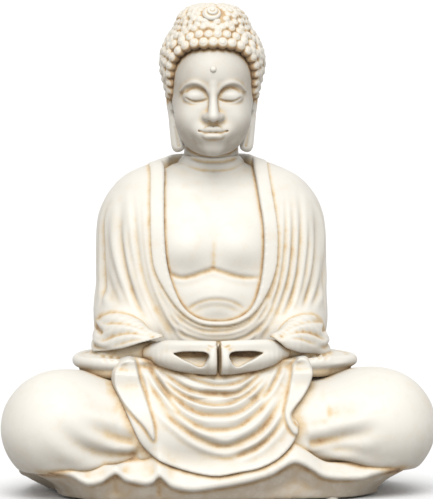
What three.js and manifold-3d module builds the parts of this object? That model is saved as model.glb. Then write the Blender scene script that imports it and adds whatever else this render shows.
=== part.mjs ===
// A seated meditating Buddha statue, cast in stone-filled resin as hollow sections that are pinned and
// bonded together. Millimetres, +Z up, -Y is the front, origin on the ground under the middle of the statue.
import * as THREE from "three";
import { mergeVertices } from "three/addons/utils/BufferGeometryUtils.js";
import Module from "manifold-3d";

const wasm = await Module();
wasm.setup();

// ---- Driving dimensions -------------------------------------------------------------------------

const BOND_GAP = 0.35; // room for adhesive between two castings
const WALL = 10; // casting wall

// Felt pads, foot rim and closing board
const PAD_RADIUS = 7;
const PAD_INSET = 14; // foot's outer edge to the middle of a pad
const PAD_THICKNESS = 3;
const PAD_STAND = 1.5; // how far a pad stands out of the foot rim
const HEM_TOP = 20; // ledge that the lap stands on
const HEM_RISE = 14; // how far the spread hem climbs the lap above that ledge
const HEM_SPREAD = 6; // how far the hem's foot lies outside the lap at the front
const HEM_FLARE = 12; // how far the hem swells out between its foot and its upper edge
const HEM_TUCK = 42; // how far its foot is drawn in under the knees
const RIM_WIDTH = 22; // foot rim around the closing board
const LEDGE_WIDTH = 16; // ledge that the board is screwed to
const SCREW_COUNT = 6;
const PAD_COUNT = 4;
const BOARD_THICKNESS = 4;
const BOARD_RECESS = 2.5; // board's face above the foot rim
const SCREW_SHANK_RADIUS = 1.8;
const SCREW_HEAD_RADIUS = 3.6;
const SCREW_HEAD_HEIGHT = 1.6;
const SCREW_LENGTH = 12;
const PILOT_RELIEF = 1; // a screw's hole beyond its tip
const BUNG_RADIUS = 24;
const BUNG_FLANGE = 5; // flange beyond the hole, all round
const BUNG_FLANGE_THICKNESS = 2;
const BUNG_DEPTH = 14;

// Crossed legs
const LAP_WIDTH = 440;
const LAP_FRONT = 116;
const LAP_BACK = 140;
const LAP_BOTTOM = 12;
const LAP_HEIGHT = 118;
const LAP_FULLNESS = 3.1; // superellipse exponent of the upright section
const LAP_MOUTH_RISE = 4; // solid left above the ledge, round the open underside
const SEAT_DEPTH = 14; // how deep the torso is let into the lap

// Robed torso
const TORSO_AXIS_Y = 38;
const TORSO_HEIGHT = 227;
const TORSO_WIDTH = 233;
const TORSO_FRONT = 92; // axis to the front of the belly
const TORSO_BACK = 88; // axis to the back
const NECK_BLOCK = 22; // solid thickness under the neck
const TORSO_SQUARENESS = 2.5; // superellipse exponent of the level section
const VENT_RADIUS = 30;
const PIN_RADIUS = 6;
const PIN_SPACING = 140;

// Bare chest let into the robe's opening
const CHEST_WIDTH = 98;
const CHEST_RECESS = 5;
const CHEST_TOP_DROP = 14; // chest panel's top edge below the neck seat
const CHEST_LENGTH = 150;
const CHEST_REACH = 26; // how far in front of the torso's axis the opening stops

// Head
const NECK_Y = 20;
const NECK_RADIUS = 30;
const NECK_LENGTH = 26;
const NECK_FLARE = 4; // extra radius at the neck's foot
const HEAD_Y = 4;
const FACE_WIDTH = 84;
const FACE_HEIGHT = 134; // chin to the crown under the hair
const HEAD_DEPTH = 118;
const BROW_FULLNESS = 0.62; // under 1 makes the skull squarer above the eyes
const JAW_TAPER = 0.22; // how much narrower the head is at the chin
const DOWEL_BLOCK = 52; // solid height above the chin that holds the neck dowel
const CROWN_HOLLOW = 30; // half height of the opening in the crown, under the hair
const HAIR_WIDTH = 110;
const HAIR_DEPTH = 128;
const HAIRLINE_RISE = 110; // chin to the front edge of the hair
const HAIR_WIDEST_RISE = 94; // chin to where the hair is widest
const HAIR_DOME = 58; // from there up to the crown
const HAIR_FALL = 70; // and down, past the hair's lower edge
const HAIR_NAPE_RISE = 38; // chin to the lowest hair at the back
const HAIR_CROWN_WALL = 14; // hair left over the hollow head
const TOPKNOT_RADIUS = 41;
const TOPKNOT_RISE = 156; // chin to the very top
const JEWEL_RADIUS = 9;
const JEWEL_THICKNESS = 10;
const JEWEL_TILT = 54; // degrees from facing straight up
const URNA_RADIUS = 3.6;
const URNA_RISE = 90;
const DOWEL_RADIUS = 8;
const DOWEL_LENGTH = 84;
const EAR_LENGTH = 74;
const EAR_WIDTH = 22;
const EAR_THICKNESS = 9;
const EAR_TAPER = 0.42; // how much narrower the lobe is than the ear's top
const EAR_SETBACK = 14; // behind the middle of the head
const EAR_LIFT = 5; // chin to the end of the lobe

// Forearms in their sleeves, and hands
const ELBOW_RADIUS = 30;
const WRIST_RADIUS = 17;
const SLEEVE_HEM_THICKNESS = 13;
const SLEEVE_HEM_REACH = 144; // middle of the body to the outer end of the sleeve's hem
const SLEEVE_HEM_RADIUS = 46;
const ARM_DOWEL_RADIUS = 5;
const ARM_DOWEL_LENGTH = 34;
const HAND_SPAN = 72; // middle of the body to the wrist
const HAND_Y = -92;
const HAND_DEPTH = 26;
const HAND_HEIGHT = 16;
const THUMB_RADIUS = 6;
const FINGER_RADIUS = 7;

// Robe's fall in front
const DRAPE_WIDTH = 192;
const DRAPE_THICKNESS = 9;
const DRAPE_BOTTOM = 24;
const DRAPE_CORNER = 38; // rounding of its lower corners
const DRAPE_SAG = 17; // how far its middle hangs below them
const DRAPE_SHOULDER = 14; // how much narrower it is at the top

// ---- Levels that follow from them ---------------------------------------------------------------

const LAP_TOP = LAP_BOTTOM + LAP_HEIGHT;
const LAP_MIDDLE = LAP_BOTTOM + LAP_HEIGHT / 2;
const SEAT_Z = LAP_TOP - SEAT_DEPTH;
const NECK_SEAT_Z = SEAT_Z + TORSO_HEIGHT;
const CHIN_Z = NECK_SEAT_Z + 1;
const FACE_MIDDLE_Z = CHIN_Z + FACE_HEIGHT / 2;
const FAR = 900; // a length that clears the whole statue

// ---- Solids from three.js geometry --------------------------------------------------------------

function solid(geometry) {
  const loose = geometry.index ? geometry.toNonIndexed() : geometry;
  const bare = new THREE.BufferGeometry().setAttribute("position", loose.getAttribute("position"));
  const merged = mergeVertices(bare, 1e-4);
  const vertProperties = merged.attributes.position.array;
  const triVerts = new Uint32Array(merged.index.array);
  return new wasm.Manifold(new wasm.Mesh({ numProp: 3, vertProperties, triVerts }));
}

function geometryOf(body) {
  const mesh = body.getMesh();
  const corners = new Float32Array(mesh.numVert * 3);
  for (let i = 0; i < mesh.numVert; i++) {
    corners.set(mesh.vertProperties.subarray(i * mesh.numProp, i * mesh.numProp + 3), i * 3);
  }
  const geometry = new THREE.BufferGeometry();
  geometry.setAttribute("position", new THREE.BufferAttribute(corners, 3));
  geometry.setIndex(new THREE.BufferAttribute(new Uint32Array(mesh.triVerts), 1));
  geometry.computeVertexNormals();
  return geometry;
}

// Moves every vertex of a geometry to the place that a function gives for it.
function shaped(geometry, place) {
  const at = geometry.getAttribute("position");
  const point = new THREE.Vector3();
  for (let i = 0; i < at.count; i++) {
    const to = place(point.fromBufferAttribute(at, i));
    at.setXYZ(i, to.x, to.y, to.z);
  }
  return geometry;
}

const ball = (around, up) => new THREE.SphereGeometry(1, around, up).rotateX(Math.PI / 2);
const drum = (around, up) => new THREE.CylinderGeometry(1, 1, 1, around, up).rotateX(Math.PI / 2);
const power = (value, exponent) => Math.sign(value) * Math.abs(value) ** exponent;

function ellipsoid(centre, radii, around = 18, up = 10) {
  return solid(ball(around, up).scale(...radii).translate(...centre));
}

function upright(radius, from, to, x, y, sides = 24) {
  const bar = new THREE.CylinderGeometry(radius, radius, to - from, sides).rotateX(Math.PI / 2);
  return bar.translate(x, y, (from + to) / 2);
}

// The biggest of a solid's separate bodies, without the slivers that a cut can leave.
function largest(body) {
  return body.decompose().reduce((a, b) => (a.volume() > b.volume() ? a : b));
}

function block(from, to) {
  const size = to.map((high, i) => high - from[i]);
  const middle = to.map((high, i) => (high + from[i]) / 2);
  return solid(new THREE.BoxGeometry(...size).translate(...middle));
}

// A round-ended limb whose radius changes from one end to the other.
function limb(start, end, startRadius, endRadius, around = 14, up = 10) {
  const from = new THREE.Vector3(...start);
  const to = new THREE.Vector3(...end);
  const turn = new THREE.Quaternion().setFromUnitVectors(
    new THREE.Vector3(0, 0, 1),
    to.clone().sub(from).normalize(),
  );
  const place = (unit) => {
    const top = unit.z > 0;
    return unit
      .clone()
      .multiplyScalar(top ? endRadius : startRadius)
      .applyQuaternion(turn)
      .add(top ? to : from);
  };
  return solid(shaped(ball(around, up), place));
}

// An outline drawn in X and Z, run through the body along Y.
function frontCut(outline, fromY, toY, curveSegments = 10) {
  const cut = new THREE.ExtrudeGeometry(outline, {
    depth: toY - fromY,
    bevelEnabled: false,
    curveSegments,
  });
  return solid(cut.rotateX(Math.PI / 2).translate(0, toY, 0));
}

// ---- Crossed legs -------------------------------------------------------------------------------

// Plan outline from the front middle round one knee to the back, then mirrored. Each point is set from the
// knee's width, the front or the back.
function planOutline(halfWidth, front, back) {
  const side = [
    [halfWidth - 122, -front],
    [halfWidth - 46, -front + 14],
    [halfWidth, -front + 62],
    [halfWidth - 10, -front + 126],
    [halfWidth - 50, back - 58],
    [halfWidth - 116, back - 12],
  ];
  const points = [[0, -front + 4], ...side, [0, back], ...side.map(([x, y]) => [-x, y]).reverse()];
  return new THREE.CatmullRomCurve3(
    points.map(([x, y]) => new THREE.Vector3(x, y, 0)),
    true,
    "centripetal",
  );
}

const LAP_OUTLINE = planOutline(LAP_WIDTH / 2, LAP_FRONT, LAP_BACK);

// The outline's point for a direction seen from above, moved in square to the outline.
function onOutline(outline, direction, inset) {
  const along = (Math.atan2(direction.y, direction.x) / (2 * Math.PI) + 1.25) % 1;
  const point = outline.getPoint(along);
  const heading = outline.getTangent(along);
  return new THREE.Vector2(point.x - heading.y * inset, point.y + heading.x * inset);
}

function lapBody(inset, around = 40, up = 16) {
  const rise = LAP_HEIGHT / 2 - inset;
  const place = (unit) => {
    const reach = power(Math.hypot(unit.x, unit.y), 2 / LAP_FULLNESS);
    const rim = onOutline(LAP_OUTLINE, unit, inset).multiplyScalar(reach);
    return { x: rim.x, y: rim.y, z: LAP_MIDDLE + rise * power(unit.z, 2 / LAP_FULLNESS) };
  };
  return solid(shaped(ball(around, up), place));
}

// ---- Torso --------------------------------------------------------------------------------------

// Sections by height above the seat: what is taken off the half width, the front and the back.
const TORSO_SECTIONS = [
  { rise: 0, side: 2, front: -8, back: 4 },
  { rise: 42, side: 0, front: 4, back: 4 },
  { rise: 84, side: 0, front: 6, back: 1 },
  { rise: 126, side: 0, front: 4, back: 0 },
  { rise: TORSO_HEIGHT - 62, side: 1, front: 8, back: 6 },
  { rise: TORSO_HEIGHT - 43, side: 7, front: 17, back: 14 },
  { rise: TORSO_HEIGHT - 28, side: 18, front: 28, back: 26 },
  { rise: TORSO_HEIGHT - 18, side: 32, front: 38, back: 37 },
  { rise: TORSO_HEIGHT - 9, side: 54, front: 49, back: 48 },
  { rise: TORSO_HEIGHT, side: 80, front: 62, back: 60 },
];

function torsoSection(share) {
  const rise = share * TORSO_HEIGHT;
  const above = TORSO_SECTIONS.findIndex((section) => section.rise >= rise - 1e-6);
  const high = TORSO_SECTIONS[Math.max(above, 1)];
  const low = TORSO_SECTIONS[Math.max(above, 1) - 1];
  const mix = (rise - low.rise) / (high.rise - low.rise);
  const between = (key) => THREE.MathUtils.lerp(low[key], high[key], mix);
  return { side: between("side"), front: between("front"), back: between("back") };
}

function torsoBody(inset, from, to, around = 32, up = 16) {
  const place = (unit) => {
    const z = THREE.MathUtils.lerp(from, to, unit.z + 0.5);
    const section = torsoSection((z - SEAT_Z) / TORSO_HEIGHT);
    const span = Math.hypot(unit.x, unit.y);
    const cosine = span ? unit.x / span : 0;
    const sine = span ? unit.y / span : 0;
    const reach = unit.y < 0 ? TORSO_FRONT - section.front : TORSO_BACK - section.back;
    const halfWidth = TORSO_WIDTH / 2 - section.side - inset;
    return {
      x: span * halfWidth * power(cosine, 2 / TORSO_SQUARENESS),
      y: TORSO_AXIS_Y + span * (reach - inset) * power(sine, 2 / TORSO_SQUARENESS),
      z,
    };
  };
  return solid(shaped(drum(around, up), place));
}

function robeOpening(clearance) {
  const half = CHEST_WIDTH / 2 - clearance;
  const top = NECK_SEAT_Z - CHEST_TOP_DROP - clearance;
  const turn = NECK_SEAT_Z - CHEST_TOP_DROP - CHEST_LENGTH + CHEST_WIDTH / 2;
  const outline = new THREE.Shape();
  outline.moveTo(-half, top);
  outline.lineTo(-half, turn);
  outline.absarc(0, turn, half, Math.PI, 2 * Math.PI, false);
  outline.lineTo(half, top);
  return frontCut(outline, -FAR, TORSO_AXIS_Y - CHEST_REACH);
}

// ---- Head ---------------------------------------------------------------------------------------

function headBody(inset) {
  const place = (unit) => {
    const level = Math.hypot(unit.x, unit.y);
    const brow = level ** BROW_FULLNESS / Math.max(level, 1e-9);
    const full = unit.z > 0 ? brow : 1 - JAW_TAPER * unit.z * unit.z;
    return {
      x: (FACE_WIDTH / 2 - inset) * full * unit.x,
      y: HEAD_Y + (HEAD_DEPTH / 2 - inset) * full * unit.y,
      z: FACE_MIDDLE_Z + (FACE_HEIGHT / 2 - inset) * unit.z,
    };
  };
  return solid(shaped(ball(24, 14), place));
}

function hairBody(inset) {
  const place = (unit) => ({
    x: (HAIR_WIDTH / 2 - inset) * unit.x,
    y: HEAD_Y + 2 + (HAIR_DEPTH / 2 - inset) * unit.y,
    z: CHIN_Z + HAIR_WIDEST_RISE + ((unit.z > 0 ? HAIR_DOME : HAIR_FALL) - inset) * unit.z,
  });
  const cap = solid(shaped(ball(26, 16), place));
  const knot = ellipsoid(
    [0, HEAD_Y + 8, CHIN_Z + TOPKNOT_RISE - TOPKNOT_RADIUS],
    [TOPKNOT_RADIUS - inset, TOPKNOT_RADIUS - inset, TOPKNOT_RADIUS - inset],
    20,
    10,
  );
  return cap.add(knot);
}

// The hair ends on a sloping surface: high over the forehead, low at the nape.
function belowHairline(clearance) {
  const front = CHIN_Z + HAIRLINE_RISE - clearance;
  const nape = CHIN_Z + HAIR_NAPE_RISE - clearance;
  const frontY = HEAD_Y - HAIR_DEPTH / 2;
  const outline = new THREE.Shape();
  outline.moveTo(-FAR, front);
  outline.lineTo(frontY + 22, front);
  outline.quadraticCurveTo(frontY + 44, front - 4, frontY + 52, front - 34);
  outline.lineTo(frontY + 84, nape);
  outline.lineTo(FAR, nape);
  outline.lineTo(FAR, 0);
  outline.lineTo(-FAR, 0);
  // The outline lies in Y and Z, so it is turned to run along X.
  return frontCut(outline, 0, FAR, 6).rotate([0, 0, 90]).translate([FAR / 2, 0, 0]);
}

// ---- Left and right -----------------------------------------------------------------------------

const SIDES = [
  { name: "left", sign: 1 },
  { name: "right", sign: -1 },
];

// ---- The castings -------------------------------------------------------------------------------

const lapOuter = lapBody(0);
const lapClear = lapBody(-BOND_GAP);
const torsoOuter = torsoBody(0, SEAT_Z, NECK_SEAT_Z);
const torsoClear = torsoBody(-BOND_GAP, SEAT_Z - BOND_GAP, NECK_SEAT_Z);

function pinHoles(radius, from, to) {
  const [left, right] = SIDES.map(({ sign }) =>
    solid(upright(radius, from, to, (sign * PIN_SPACING) / 2, TORSO_AXIS_Y)),
  );
  return left.add(right);
}

function lapShell() {
  const cavity = lapBody(WALL, 24, 10).subtract(
    block([-FAR, -FAR, SEAT_Z - BOND_GAP - WALL], [FAR, FAR, FAR]),
  );
  const foot = block([-FAR, -FAR, -FAR], [FAR, FAR, HEM_TOP + BOND_GAP]);
  const mouth = hemOutlineBody(BOARD_TOP, HEM_TOP + WALL + LAP_MOUTH_RISE, RIM_WIDTH + LEDGE_WIDTH);
  const vent = solid(upright(VENT_RADIUS, SEAT_Z - 2 * WALL, LAP_TOP + 1, 0, TORSO_AXIS_Y));
  return lapOuter
    .subtract(torsoClear)
    .subtract(cavity)
    .subtract(foot)
    .subtract(mouth)
    .subtract(vent)
    .subtract(pinHoles(PIN_RADIUS + BOND_GAP, SEAT_Z - 2 * WALL, LAP_TOP + 1));
}

function torsoShell() {
  const cavity = torsoBody(WALL, SEAT_Z + WALL, NECK_SEAT_Z - NECK_BLOCK, 24, 9);
  const vent = solid(upright(VENT_RADIUS, SEAT_Z - 1, SEAT_Z + 2 * WALL, 0, TORSO_AXIS_Y));
  const dowelHole = solid(
    upright(DOWEL_RADIUS + BOND_GAP, NECK_SEAT_Z - NECK_BLOCK - 1, NECK_SEAT_Z + 1, 0, NECK_Y + 6),
  );
  return torsoOuter
    .subtract(cavity)
    .subtract(vent)
    .subtract(dowelHole)
    .subtract(robeOpening(0))
    .subtract(pinHoles(PIN_RADIUS + BOND_GAP, SEAT_Z - 1, SEAT_Z + 2 * WALL))
    .subtract(armDowels(BOND_GAP));
}

function chestPanel() {
  const face = torsoBody(CHEST_RECESS, SEAT_Z + CHEST_RECESS, NECK_SEAT_Z - CHEST_RECESS, 32, 14);
  const behind = torsoBody(CHEST_RECESS + WALL, SEAT_Z + WALL, NECK_SEAT_Z - CHEST_RECESS, 24, 9);
  return face.subtract(behind).intersect(robeOpening(BOND_GAP));
}

// ---- Foot: spread hem, closing board, bung, screws, pads ----------------------------------------

const HEM_OUTLINE = planOutline(LAP_WIDTH / 2 - HEM_TUCK, LAP_FRONT + HEM_SPREAD, LAP_BACK - 2);

function hemOutlineBody(from, to, inset, flare = 0, around = 36) {
  const place = (unit) => {
    const up = unit.z + 0.5;
    const rim = onOutline(HEM_OUTLINE, unit, inset - flare * 4 * up * (1 - up));
    rim.multiplyScalar(Math.hypot(unit.x, unit.y));
    return { x: rim.x, y: rim.y, z: THREE.MathUtils.lerp(from, to, up) };
  };
  return solid(shaped(drum(around, flare ? 4 : 1), place));
}

const BOARD_BOTTOM = PAD_STAND + BOARD_RECESS;
const BOARD_TOP = BOARD_BOTTOM + BOARD_THICKNESS;

// Places spaced round the foot, a distance in from the hem's edge.
function aroundFoot(count, inset, phase) {
  return Array.from({ length: count }, (_, i) => {
    const angle = ((i + phase) / count) * 2 * Math.PI;
    return onOutline(HEM_OUTLINE, { x: Math.cos(angle), y: Math.sin(angle) }, inset);
  });
}

const SCREW_PLACES = aroundFoot(SCREW_COUNT, RIM_WIDTH + LEDGE_WIDTH / 2, 0);
const PAD_PLACES = aroundFoot(PAD_COUNT, PAD_INSET, 0.5);

function hemSkirt() {
  let hem = hemOutlineBody(PAD_STAND, HEM_TOP + HEM_RISE, 0, HEM_FLARE);
  hem = hem.subtract(hemOutlineBody(PAD_STAND - 1, FAR, RIM_WIDTH + LEDGE_WIDTH));
  hem = hem.subtract(hemOutlineBody(PAD_STAND - 1, BOARD_TOP + BOND_GAP, RIM_WIDTH));
  // The lap stands on the ledge, and the hem climbs its sides.
  hem = hem.subtract(lapClear.subtract(block([-FAR, -FAR, -FAR], [FAR, FAR, HEM_TOP])));
  SCREW_PLACES.forEach(({ x, y }) => {
    const holeTop = BOARD_BOTTOM + SCREW_LENGTH + PILOT_RELIEF;
    hem = hem.subtract(solid(upright(SCREW_SHANK_RADIUS + BOND_GAP, 0, holeTop, x, y, 12)));
  });
  PAD_PLACES.forEach(({ x, y }) => {
    hem = hem.subtract(solid(upright(PAD_RADIUS + BOND_GAP, -1, PAD_THICKNESS + BOND_GAP, x, y, 20)));
  });
  return largest(hem.subtract(drapeBody(BOND_GAP)));
}

function closingBoard() {
  let board = hemOutlineBody(BOARD_BOTTOM, BOARD_TOP, RIM_WIDTH + BOND_GAP);
  SCREW_PLACES.forEach(({ x, y }) => {
    board = board.subtract(solid(upright(SCREW_SHANK_RADIUS + BOND_GAP, 0, FAR, x, y, 12)));
  });
  return board.subtract(solid(upright(BUNG_RADIUS + BOND_GAP, 0, FAR, 0, 0, 28)));
}

function bung() {
  const bottom = BOARD_BOTTOM - BOND_GAP - BUNG_FLANGE_THICKNESS;
  const flangeTop = BOARD_BOTTOM - BOND_GAP;
  const profile = [
    [0, bottom],
    [BUNG_RADIUS + BUNG_FLANGE, bottom],
    [BUNG_RADIUS + BUNG_FLANGE, flangeTop],
    [BUNG_RADIUS, flangeTop],
    [BUNG_RADIUS - 2, bottom + BUNG_DEPTH],
    [0, bottom + BUNG_DEPTH],
  ].map(([r, z]) => new THREE.Vector2(r, z));
  return solid(new THREE.LatheGeometry(profile, 28).rotateX(Math.PI / 2));
}

function boardScrew({ x, y }) {
  const headTop = BOARD_BOTTOM - BOND_GAP;
  const head = solid(
    upright(SCREW_HEAD_RADIUS, headTop - SCREW_HEAD_HEIGHT, headTop, x, y, 14),
  );
  return head.add(solid(upright(SCREW_SHANK_RADIUS, headTop - 1, BOARD_BOTTOM + SCREW_LENGTH, x, y, 10)));
}

// ---- Front fall of the robe ---------------------------------------------------------------------

function drapeBody(grow) {
  const half = DRAPE_WIDTH / 2 + grow;
  const top = LAP_TOP - 12 + grow;
  const low = DRAPE_BOTTOM - grow;
  const corner = half - DRAPE_CORNER;
  const cornerZ = low + DRAPE_SAG - 3;
  const outline = new THREE.Shape();
  outline.moveTo(-half + DRAPE_SHOULDER, top);
  outline.bezierCurveTo(-half - 6, top - 22, -half + 4, cornerZ + 20, -corner, cornerZ);
  outline.bezierCurveTo(-corner + 28, cornerZ - DRAPE_SAG, corner - 28, cornerZ - DRAPE_SAG, corner, cornerZ);
  outline.bezierCurveTo(half - 4, cornerZ + 20, half + 6, top - 22, half - DRAPE_SHOULDER, top);
  return lapBody(-DRAPE_THICKNESS - grow).intersect(frontCut(outline, -FAR, -HAND_DEPTH));
}

function frontDrape() {
  return largest(drapeBody(0).subtract(lapClear));
}

// ---- Arms and hands -----------------------------------------------------------------------------

const ARM_Z = LAP_TOP + 12;
const ELBOW_X = TORSO_WIDTH / 2 - ELBOW_RADIUS + 6;

function armDowels(clearance) {
  const [left, right] = SIDES.map(({ sign }) => solid(armDowel(sign, clearance)));
  return left.add(right);
}

function armDowel(sign, clearance = 0) {
  const length = ARM_DOWEL_LENGTH + 2 * clearance;
  const radius = ARM_DOWEL_RADIUS + clearance;
  const bar = new THREE.CylinderGeometry(radius, radius, length, 16);
  return bar.translate(sign * (ELBOW_X - 8), TORSO_AXIS_Y - TORSO_FRONT + 22, ARM_Z + 8);
}

function sleeve(sign) {
  const elbow = [sign * ELBOW_X, TORSO_AXIS_Y - 52, ARM_Z + 12];
  const wrist = [sign * (HAND_SPAN + 2), HAND_Y + 12, ARM_Z];
  const hemCentre = [sign * (SLEEVE_HEM_REACH - SLEEVE_HEM_RADIUS), HAND_Y + 44, LAP_TOP + 2];
  const hemRadii = [SLEEVE_HEM_RADIUS, SLEEVE_HEM_RADIUS, SLEEVE_HEM_THICKNESS];
  return largest(
    limb(elbow, wrist, ELBOW_RADIUS, WRIST_RADIUS + 3)
      .add(ellipsoid(hemCentre, hemRadii, 20, 8))
      .subtract(torsoClear)
      .subtract(lapClear)
      .subtract(armDowels(BOND_GAP))
      .subtract(handBody(sign, BOND_GAP)),
  );
}

// The hand lies palm up, its fingers folded upright in the middle and the thumb laid over them.
function handBody(sign, grow) {
  const palm = ellipsoid(
    [sign * (HAND_SPAN / 2), HAND_Y, ARM_Z - 3],
    [HAND_SPAN / 2 + 6 + grow, HAND_DEPTH + grow, HAND_HEIGHT + grow],
    20,
    10,
  );
  const thumb = limb(
    [sign * (HAND_SPAN - 16), HAND_Y - 4, ARM_Z + 8],
    [sign * (THUMB_RADIUS - 1), HAND_Y - 10, ARM_Z + 11],
    THUMB_RADIUS + 2 + grow,
    THUMB_RADIUS + grow,
    10,
    8,
  );
  const fingers = limb(
    [sign * (FINGER_RADIUS + 1), HAND_Y - 16, ARM_Z - 12],
    [sign * (FINGER_RADIUS + 1), HAND_Y - 14, ARM_Z + 1],
    FINGER_RADIUS + grow,
    FINGER_RADIUS + grow,
    10,
    8,
  );
  return palm.add(thumb).add(fingers);
}

function hand(sign) {
  const middle = BOND_GAP / 2;
  const from = sign > 0 ? middle : -FAR;
  const to = sign > 0 ? FAR : -middle;
  return largest(
    handBody(sign, 0)
      .intersect(block([from, -FAR, -FAR], [to, FAR, FAR]))
      .subtract(torsoClear)
      .subtract(lapClear)
      .subtract(drapeBody(BOND_GAP)),
  );
}

// ---- Head, hair, ears ---------------------------------------------------------------------------

function neckBody() {
  const place = (unit) => {
    const up = unit.z + 0.5;
    const radius = NECK_RADIUS + NECK_FLARE * (1 - up) ** 2;
    return { x: radius * unit.x, y: NECK_Y + radius * unit.y, z: NECK_SEAT_Z + BOND_GAP + up * NECK_LENGTH };
  };
  return solid(shaped(drum(24, 3), place));
}

function headShell() {
  const cavity = headBody(WALL).intersect(
    block([-FAR, -FAR, CHIN_Z + DOWEL_BLOCK], [FAR, FAR, FAR]),
  );
  const crown = ellipsoid(
    [0, HEAD_Y + 4, CHIN_Z + FACE_HEIGHT],
    [FACE_WIDTH / 2 - 1.5 * WALL, FACE_WIDTH / 2 - WALL, CROWN_HOLLOW],
    20,
    10,
  );
  const dowelHole = solid(
    upright(DOWEL_RADIUS + BOND_GAP, 0, NECK_SEAT_Z + DOWEL_LENGTH / 2 + 2, 0, NECK_Y + 6),
  );
  const head = headBody(0).add(neckBody()).subtract(torsoClear);
  return head.subtract(cavity).subtract(crown).subtract(dowelHole).subtract(urnaSetting());
}

const URNA_Y = HEAD_Y - HEAD_DEPTH / 2 + 3.5;

function urnaSetting() {
  const radius = URNA_RADIUS + BOND_GAP;
  const bar = new THREE.CylinderGeometry(radius, radius, 10, 16);
  return solid(bar.translate(0, URNA_Y, CHIN_Z + URNA_RISE));
}

function urna() {
  return ellipsoid([0, URNA_Y - 2, CHIN_Z + URNA_RISE], [URNA_RADIUS, 5, URNA_RADIUS], 14, 10);
}

const JEWEL_PLACE = [0, HEAD_Y + 8 - TOPKNOT_RADIUS + 5, CHIN_Z + TOPKNOT_RISE - TOPKNOT_RADIUS + 24];

function jewelBody(grow) {
  const knob = ball(20, 10).scale(JEWEL_RADIUS + grow, JEWEL_RADIUS + grow, JEWEL_THICKNESS / 2 + grow);
  return solid(knob.rotateX(THREE.MathUtils.degToRad(JEWEL_TILT)).translate(...JEWEL_PLACE));
}

function hairCap() {
  return largest(
    hairBody(0)
      .subtract(headBody(-BOND_GAP))
      .subtract(belowHairline(0))
      .subtract(jewelBody(BOND_GAP))
      .subtract(headBody(WALL).translate(0, 0, HAIR_CROWN_WALL)),
  );
}

function ear(sign) {
  const place = (unit) => {
    const down = (1 - unit.z) / 2;
    const breadth = 1 - EAR_TAPER * down;
    return {
      x: sign * (FACE_WIDTH / 2 - 3) + (EAR_THICKNESS / 2) * unit.x,
      y: HEAD_Y + EAR_SETBACK + (EAR_WIDTH / 2) * breadth * unit.y - 3 * down,
      z: CHIN_Z + EAR_LIFT + (EAR_LENGTH * (1 + unit.z)) / 2,
    };
  };
  const body = solid(shaped(ball(12, 10), place));
  return largest(
    body
      .subtract(headBody(-BOND_GAP))
      .subtract(hairBody(-BOND_GAP).subtract(belowHairline(BOND_GAP)))
      .subtract(torsoClear),
  );
}

// ---- The assembly -------------------------------------------------------------------------------

const CAST = { color: 0xefe9dc, roughness: 0.72, metalness: 0 };
const FINISHES = {
  cast: new THREE.MeshStandardMaterial(CAST),
  steel: new THREE.MeshStandardMaterial({ color: 0xa7a8a6, roughness: 0.35, metalness: 1 }),
  board: new THREE.MeshStandardMaterial({ color: 0x8d6f4c, roughness: 0.85, metalness: 0 }),
  rubber: new THREE.MeshStandardMaterial({ color: 0x2b2a28, roughness: 0.9, metalness: 0 }),
  felt: new THREE.MeshStandardMaterial({ color: 0x4b4640, roughness: 1, metalness: 0 }),
};

const statue = new THREE.Group();

function add(name, body, finish) {
  const geometry = body.isBufferGeometry ? body : geometryOf(body);
  const mesh = new THREE.Mesh(geometry, FINISHES[finish]);
  mesh.name = name;
  statue.add(mesh);
}

add("lap_shell", lapShell(), "cast");
add("torso_shell", torsoShell(), "cast");
add("chest_panel", chestPanel(), "cast");
add("hem_skirt", hemSkirt(), "cast");
add("front_drape", frontDrape(), "cast");
add("head_shell", headShell(), "cast");
add("hair_cap", hairCap(), "cast");
add("crown_jewel", jewelBody(0), "cast");
add("forehead_urna", urna(), "cast");
SIDES.forEach(({ name, sign }) => {
  add(name + "_ear", ear(sign), "cast");
  add(name + "_sleeve", sleeve(sign), "cast");
  add(name + "_hand", hand(sign), "cast");
  add(name + "_arm_dowel", armDowel(sign), "steel");
  const pin = upright(PIN_RADIUS, SEAT_Z - WALL, SEAT_Z + WALL, (sign * PIN_SPACING) / 2, TORSO_AXIS_Y);
  add(name + "_seat_pin", pin, "steel");
});
const dowelFrom = NECK_SEAT_Z - DOWEL_LENGTH / 2;
add("neck_dowel", upright(DOWEL_RADIUS, dowelFrom, dowelFrom + DOWEL_LENGTH, 0, NECK_Y + 6), "steel");
add("closing_board", closingBoard(), "board");
add("drain_bung", bung(), "rubber");
SCREW_PLACES.forEach((place, i) => add("board_screw_" + (i + 1), boardScrew(place), "steel"));
PAD_PLACES.forEach(({ x, y }, i) => {
  add("felt_pad_" + (i + 1), upright(PAD_RADIUS, 0, PAD_THICKNESS, x, y, 20), "felt");
});

// The origin is put under the middle of the statue.
const extent = new THREE.Box3().setFromObject(statue);
statue.position.y = -(extent.min.y + extent.max.y) / 2;

export default statue;
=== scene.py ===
"""A seated Buddha statue in antiqued cream cast stone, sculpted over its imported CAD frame.

Forms are worked in millimetres and become metres when a piece is made. -Y is the front.
"""
import math

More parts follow.
